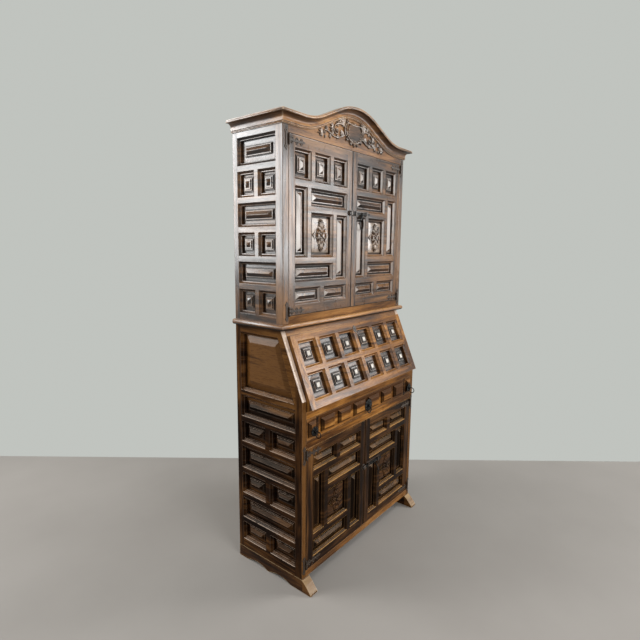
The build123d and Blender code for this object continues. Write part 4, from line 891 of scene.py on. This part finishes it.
def lower_case_finishes():
    """Finishes of the lower case and its doors, by the start of the node's name."""
    sides = {"tops": 0.06, "patchy": 0.7, "polish": 0.3, "coat": 0.9, "gloss": 0.05, "glint": WARM,
             "edge_wear_and_highlight": 0.1, "ridge_highlight": 1.2, "wear_and_highlight_colour": (0.66, 0.50, 0.39)}
    doors = {"light": lower_door_tone, "tops": 0.10, "patchy": 0.85, "polish": 0.32, "coat": 0.15,
             "shine": waxed_tops, "gloss": 0.10, "glint": WARM, "edge_wear_and_highlight": 0.1, "ridge_highlight": 1.2,
             "pale_highlight": lower_door_highlight, "wear_and_highlight_colour": (0.70, 0.38, 0.13)}
    door_blocks = walnut("walnut_lower_door_blocks", DARK, door_stiles(*TALL_BLOCKS), hollow=0.010,
                         crease=0.006, aside=0.6, **doors)
    door_frames = walnut("walnut_lower_doors", DARK, door_stiles(*DOOR_STILES), **doors)
    return [
        ("base_side_panels", walnut("walnut_base_side_blocks", DARK, light=rising(0.70, 0.76, -0.05, 0.32),
                                    shine=base_block_sheen, pale_highlight=base_block_highlight, hollow=0.010, crease=0.006,
                                    **sides)),
        ("base_side", walnut("walnut_base_side", DARK, side_stiles(-0.128, 0.183), base_side_tone,
                             shine=base_side_sheen, pale_highlight=base_side_highlight, **sides)),
        ("lower_left_door_panels", door_blocks),
        ("lower_right_door_panels", door_blocks),
        ("lower_left_door", door_frames),
        ("lower_right_door", door_frames),
        ("waist", walnut("walnut_waist", AMBER, light=across(-0.46, -0.40, -0.12, 0.12), polish=0.3,
                         coat=0.7, gloss=0.4, below=0.95)),
        ("runner", walnut("walnut_feet", DARK, light=toe_light, shine=toe_sheen, gloss=0.12, edge_wear_and_highlight=0.9,
                          pale_highlight=toe_highlight, wear_and_highlight_colour=(0.50, 0.34, 0.18))),
    ]


def desk_finishes():
    """Finishes of the fall, the drawer and the supports, by the start of the node's name."""
    waxed = {"polish": 0.36, "coat": 0.2, "shine": waxed_tops, "gloss": 0.12, "glint": WARM}
    return [
        ("fall_head_rail", walnut("walnut_head_rail", AMBER, light=paler_middle(0.0, 0.1), polish=0.3,
                                  coat=0.4, gloss=0.3)),
        ("fall_panel", walnut("walnut_fall_squares", DARK, polish=0.24, coat=0.7, gloss=0.3, edge_wear_and_highlight=0.4,
                              pale_highlight=fall_tips, wear_and_highlight_colour=(0.80, 0.74, 0.66), hollow=0.012, crease=0.007,
                              steps=fall_steps, dull=0.85)),
        ("fall", walnut("walnut_fall", AMBER, door_stiles(-1.0, 0.388), fall_tone, polish=0.3, coat=0.5,
                        shine=across(-0.42, 0.30, 1.0, 0.15), gloss=0.20)),
        ("drawer_front", walnut("walnut_drawer", AMBER, light=drawer_tone, patchy=0.85, edge_wear_and_highlight=0.6, aside=0.9,
                                **waxed)),
        ("drawer_rail", walnut("walnut_rails", AMBER, light=paler_middle(0.20, 1.4), **waxed)),
        ("support_guides", walnut("walnut_guides", DARK, polish=0.5, coat=0.0, gloss=0.08, edge_wear_and_highlight=0.1)),
        ("support", walnut("walnut_supports", RUSSET, aside=0.85, **waxed)),
        ("writing_board", walnut("walnut_writing_board", AMBER, light=paler_middle(0.0, 0.3),
                                 **dict(waxed, polish=0.4, coat=0.3))),
    ]


INNER = ("base_back_board", "base_bottom_board", "base_shelf", "pigeonholes", "upper_back_board",
         "upper_shelves", "upper_top_board", "drawer_box")


def set_finish(node, material):
    slots = NODES[node].data.materials
    slots.clear()
    slots.append(material)


def is_fitting(node):
    return any(word in node for word in ("ironwork", "rosette", "ring", "bolt"))


def finish_frame_nodes(black, brown):
    """Gives every board, door and fitting of the frame its finish."""
    inner = walnut("inner_wood", PLAIN, polish=0.55, coat=0.1, edge_wear_and_highlight=0.2)
    other = walnut("walnut_inner_rails", RUSSET, polish=0.36, coat=0.3, shine=waxed_tops, gloss=0.15,
                   glint=WARM)
    outer = upper_case_finishes() + lower_case_finishes() + desk_finishes()
    for node in NODES:
        if "ironwork" in node:
            set_finish(node, brown)
        elif is_fitting(node):
            set_finish(node, black)
        elif node in INNER:
            set_finish(node, inner)
        else:
            set_finish(node, next((finish for start, finish in outer if node.startswith(start)), other))


# How far the edges of boards, of frames that hold coffers and of fine work are eased, and from what angle.
BOARD_EASE = 0.5 * MM
FRAME_EASE = 2.5 * MM
FINE_EASE = 0.3 * MM
EASED_ANGLE = math.radians(24.0)
WELD_REACH = 0.01 * MM


def ease_of(node):
    """How far the edges of a node are eased."""
    if is_fitting(node) or "cornice" in node:
        return FINE_EASE
    return FRAME_EASE if "frame" in node else BOARD_EASE


def soften_edges():
    """Eases the sharp edges of every board and fitting."""
    for node, piece in NODES.items():
        weld = piece.modifiers.new("weld", "WELD")
        weld.merge_threshold = WELD_REACH
        eased = piece.modifiers.new("eased", "BEVEL")
        eased.width = ease_of(node)
        eased.segments = 1 if is_fitting(node) else 3
        eased.limit_method = "ANGLE"
        eased.angle_limit = EASED_ANGLE


# -------------------------------------------------------------------- the scene
black = forged_iron("black_iron", dark=(0.005, 0.005, 0.005), pale=(0.016, 0.015, 0.014),
                    paled=(0.120, 0.115, 0.110), metal=0.8, wax=0.08)
brown = forged_iron("brown_iron", dark=(0.020, 0.011, 0.006), pale=(0.060, 0.034, 0.019),
                    paled=(0.200, 0.150, 0.110), metal=0.1, wax=0.5)
place_camera()
set_surround()
lay_floor()
hang_lamps()
finish_frame_nodes(black, brown)
soften_edges()
dress_cabinet(black, brown)

bpy.context.scene.view_settings.view_transform = "Standard"
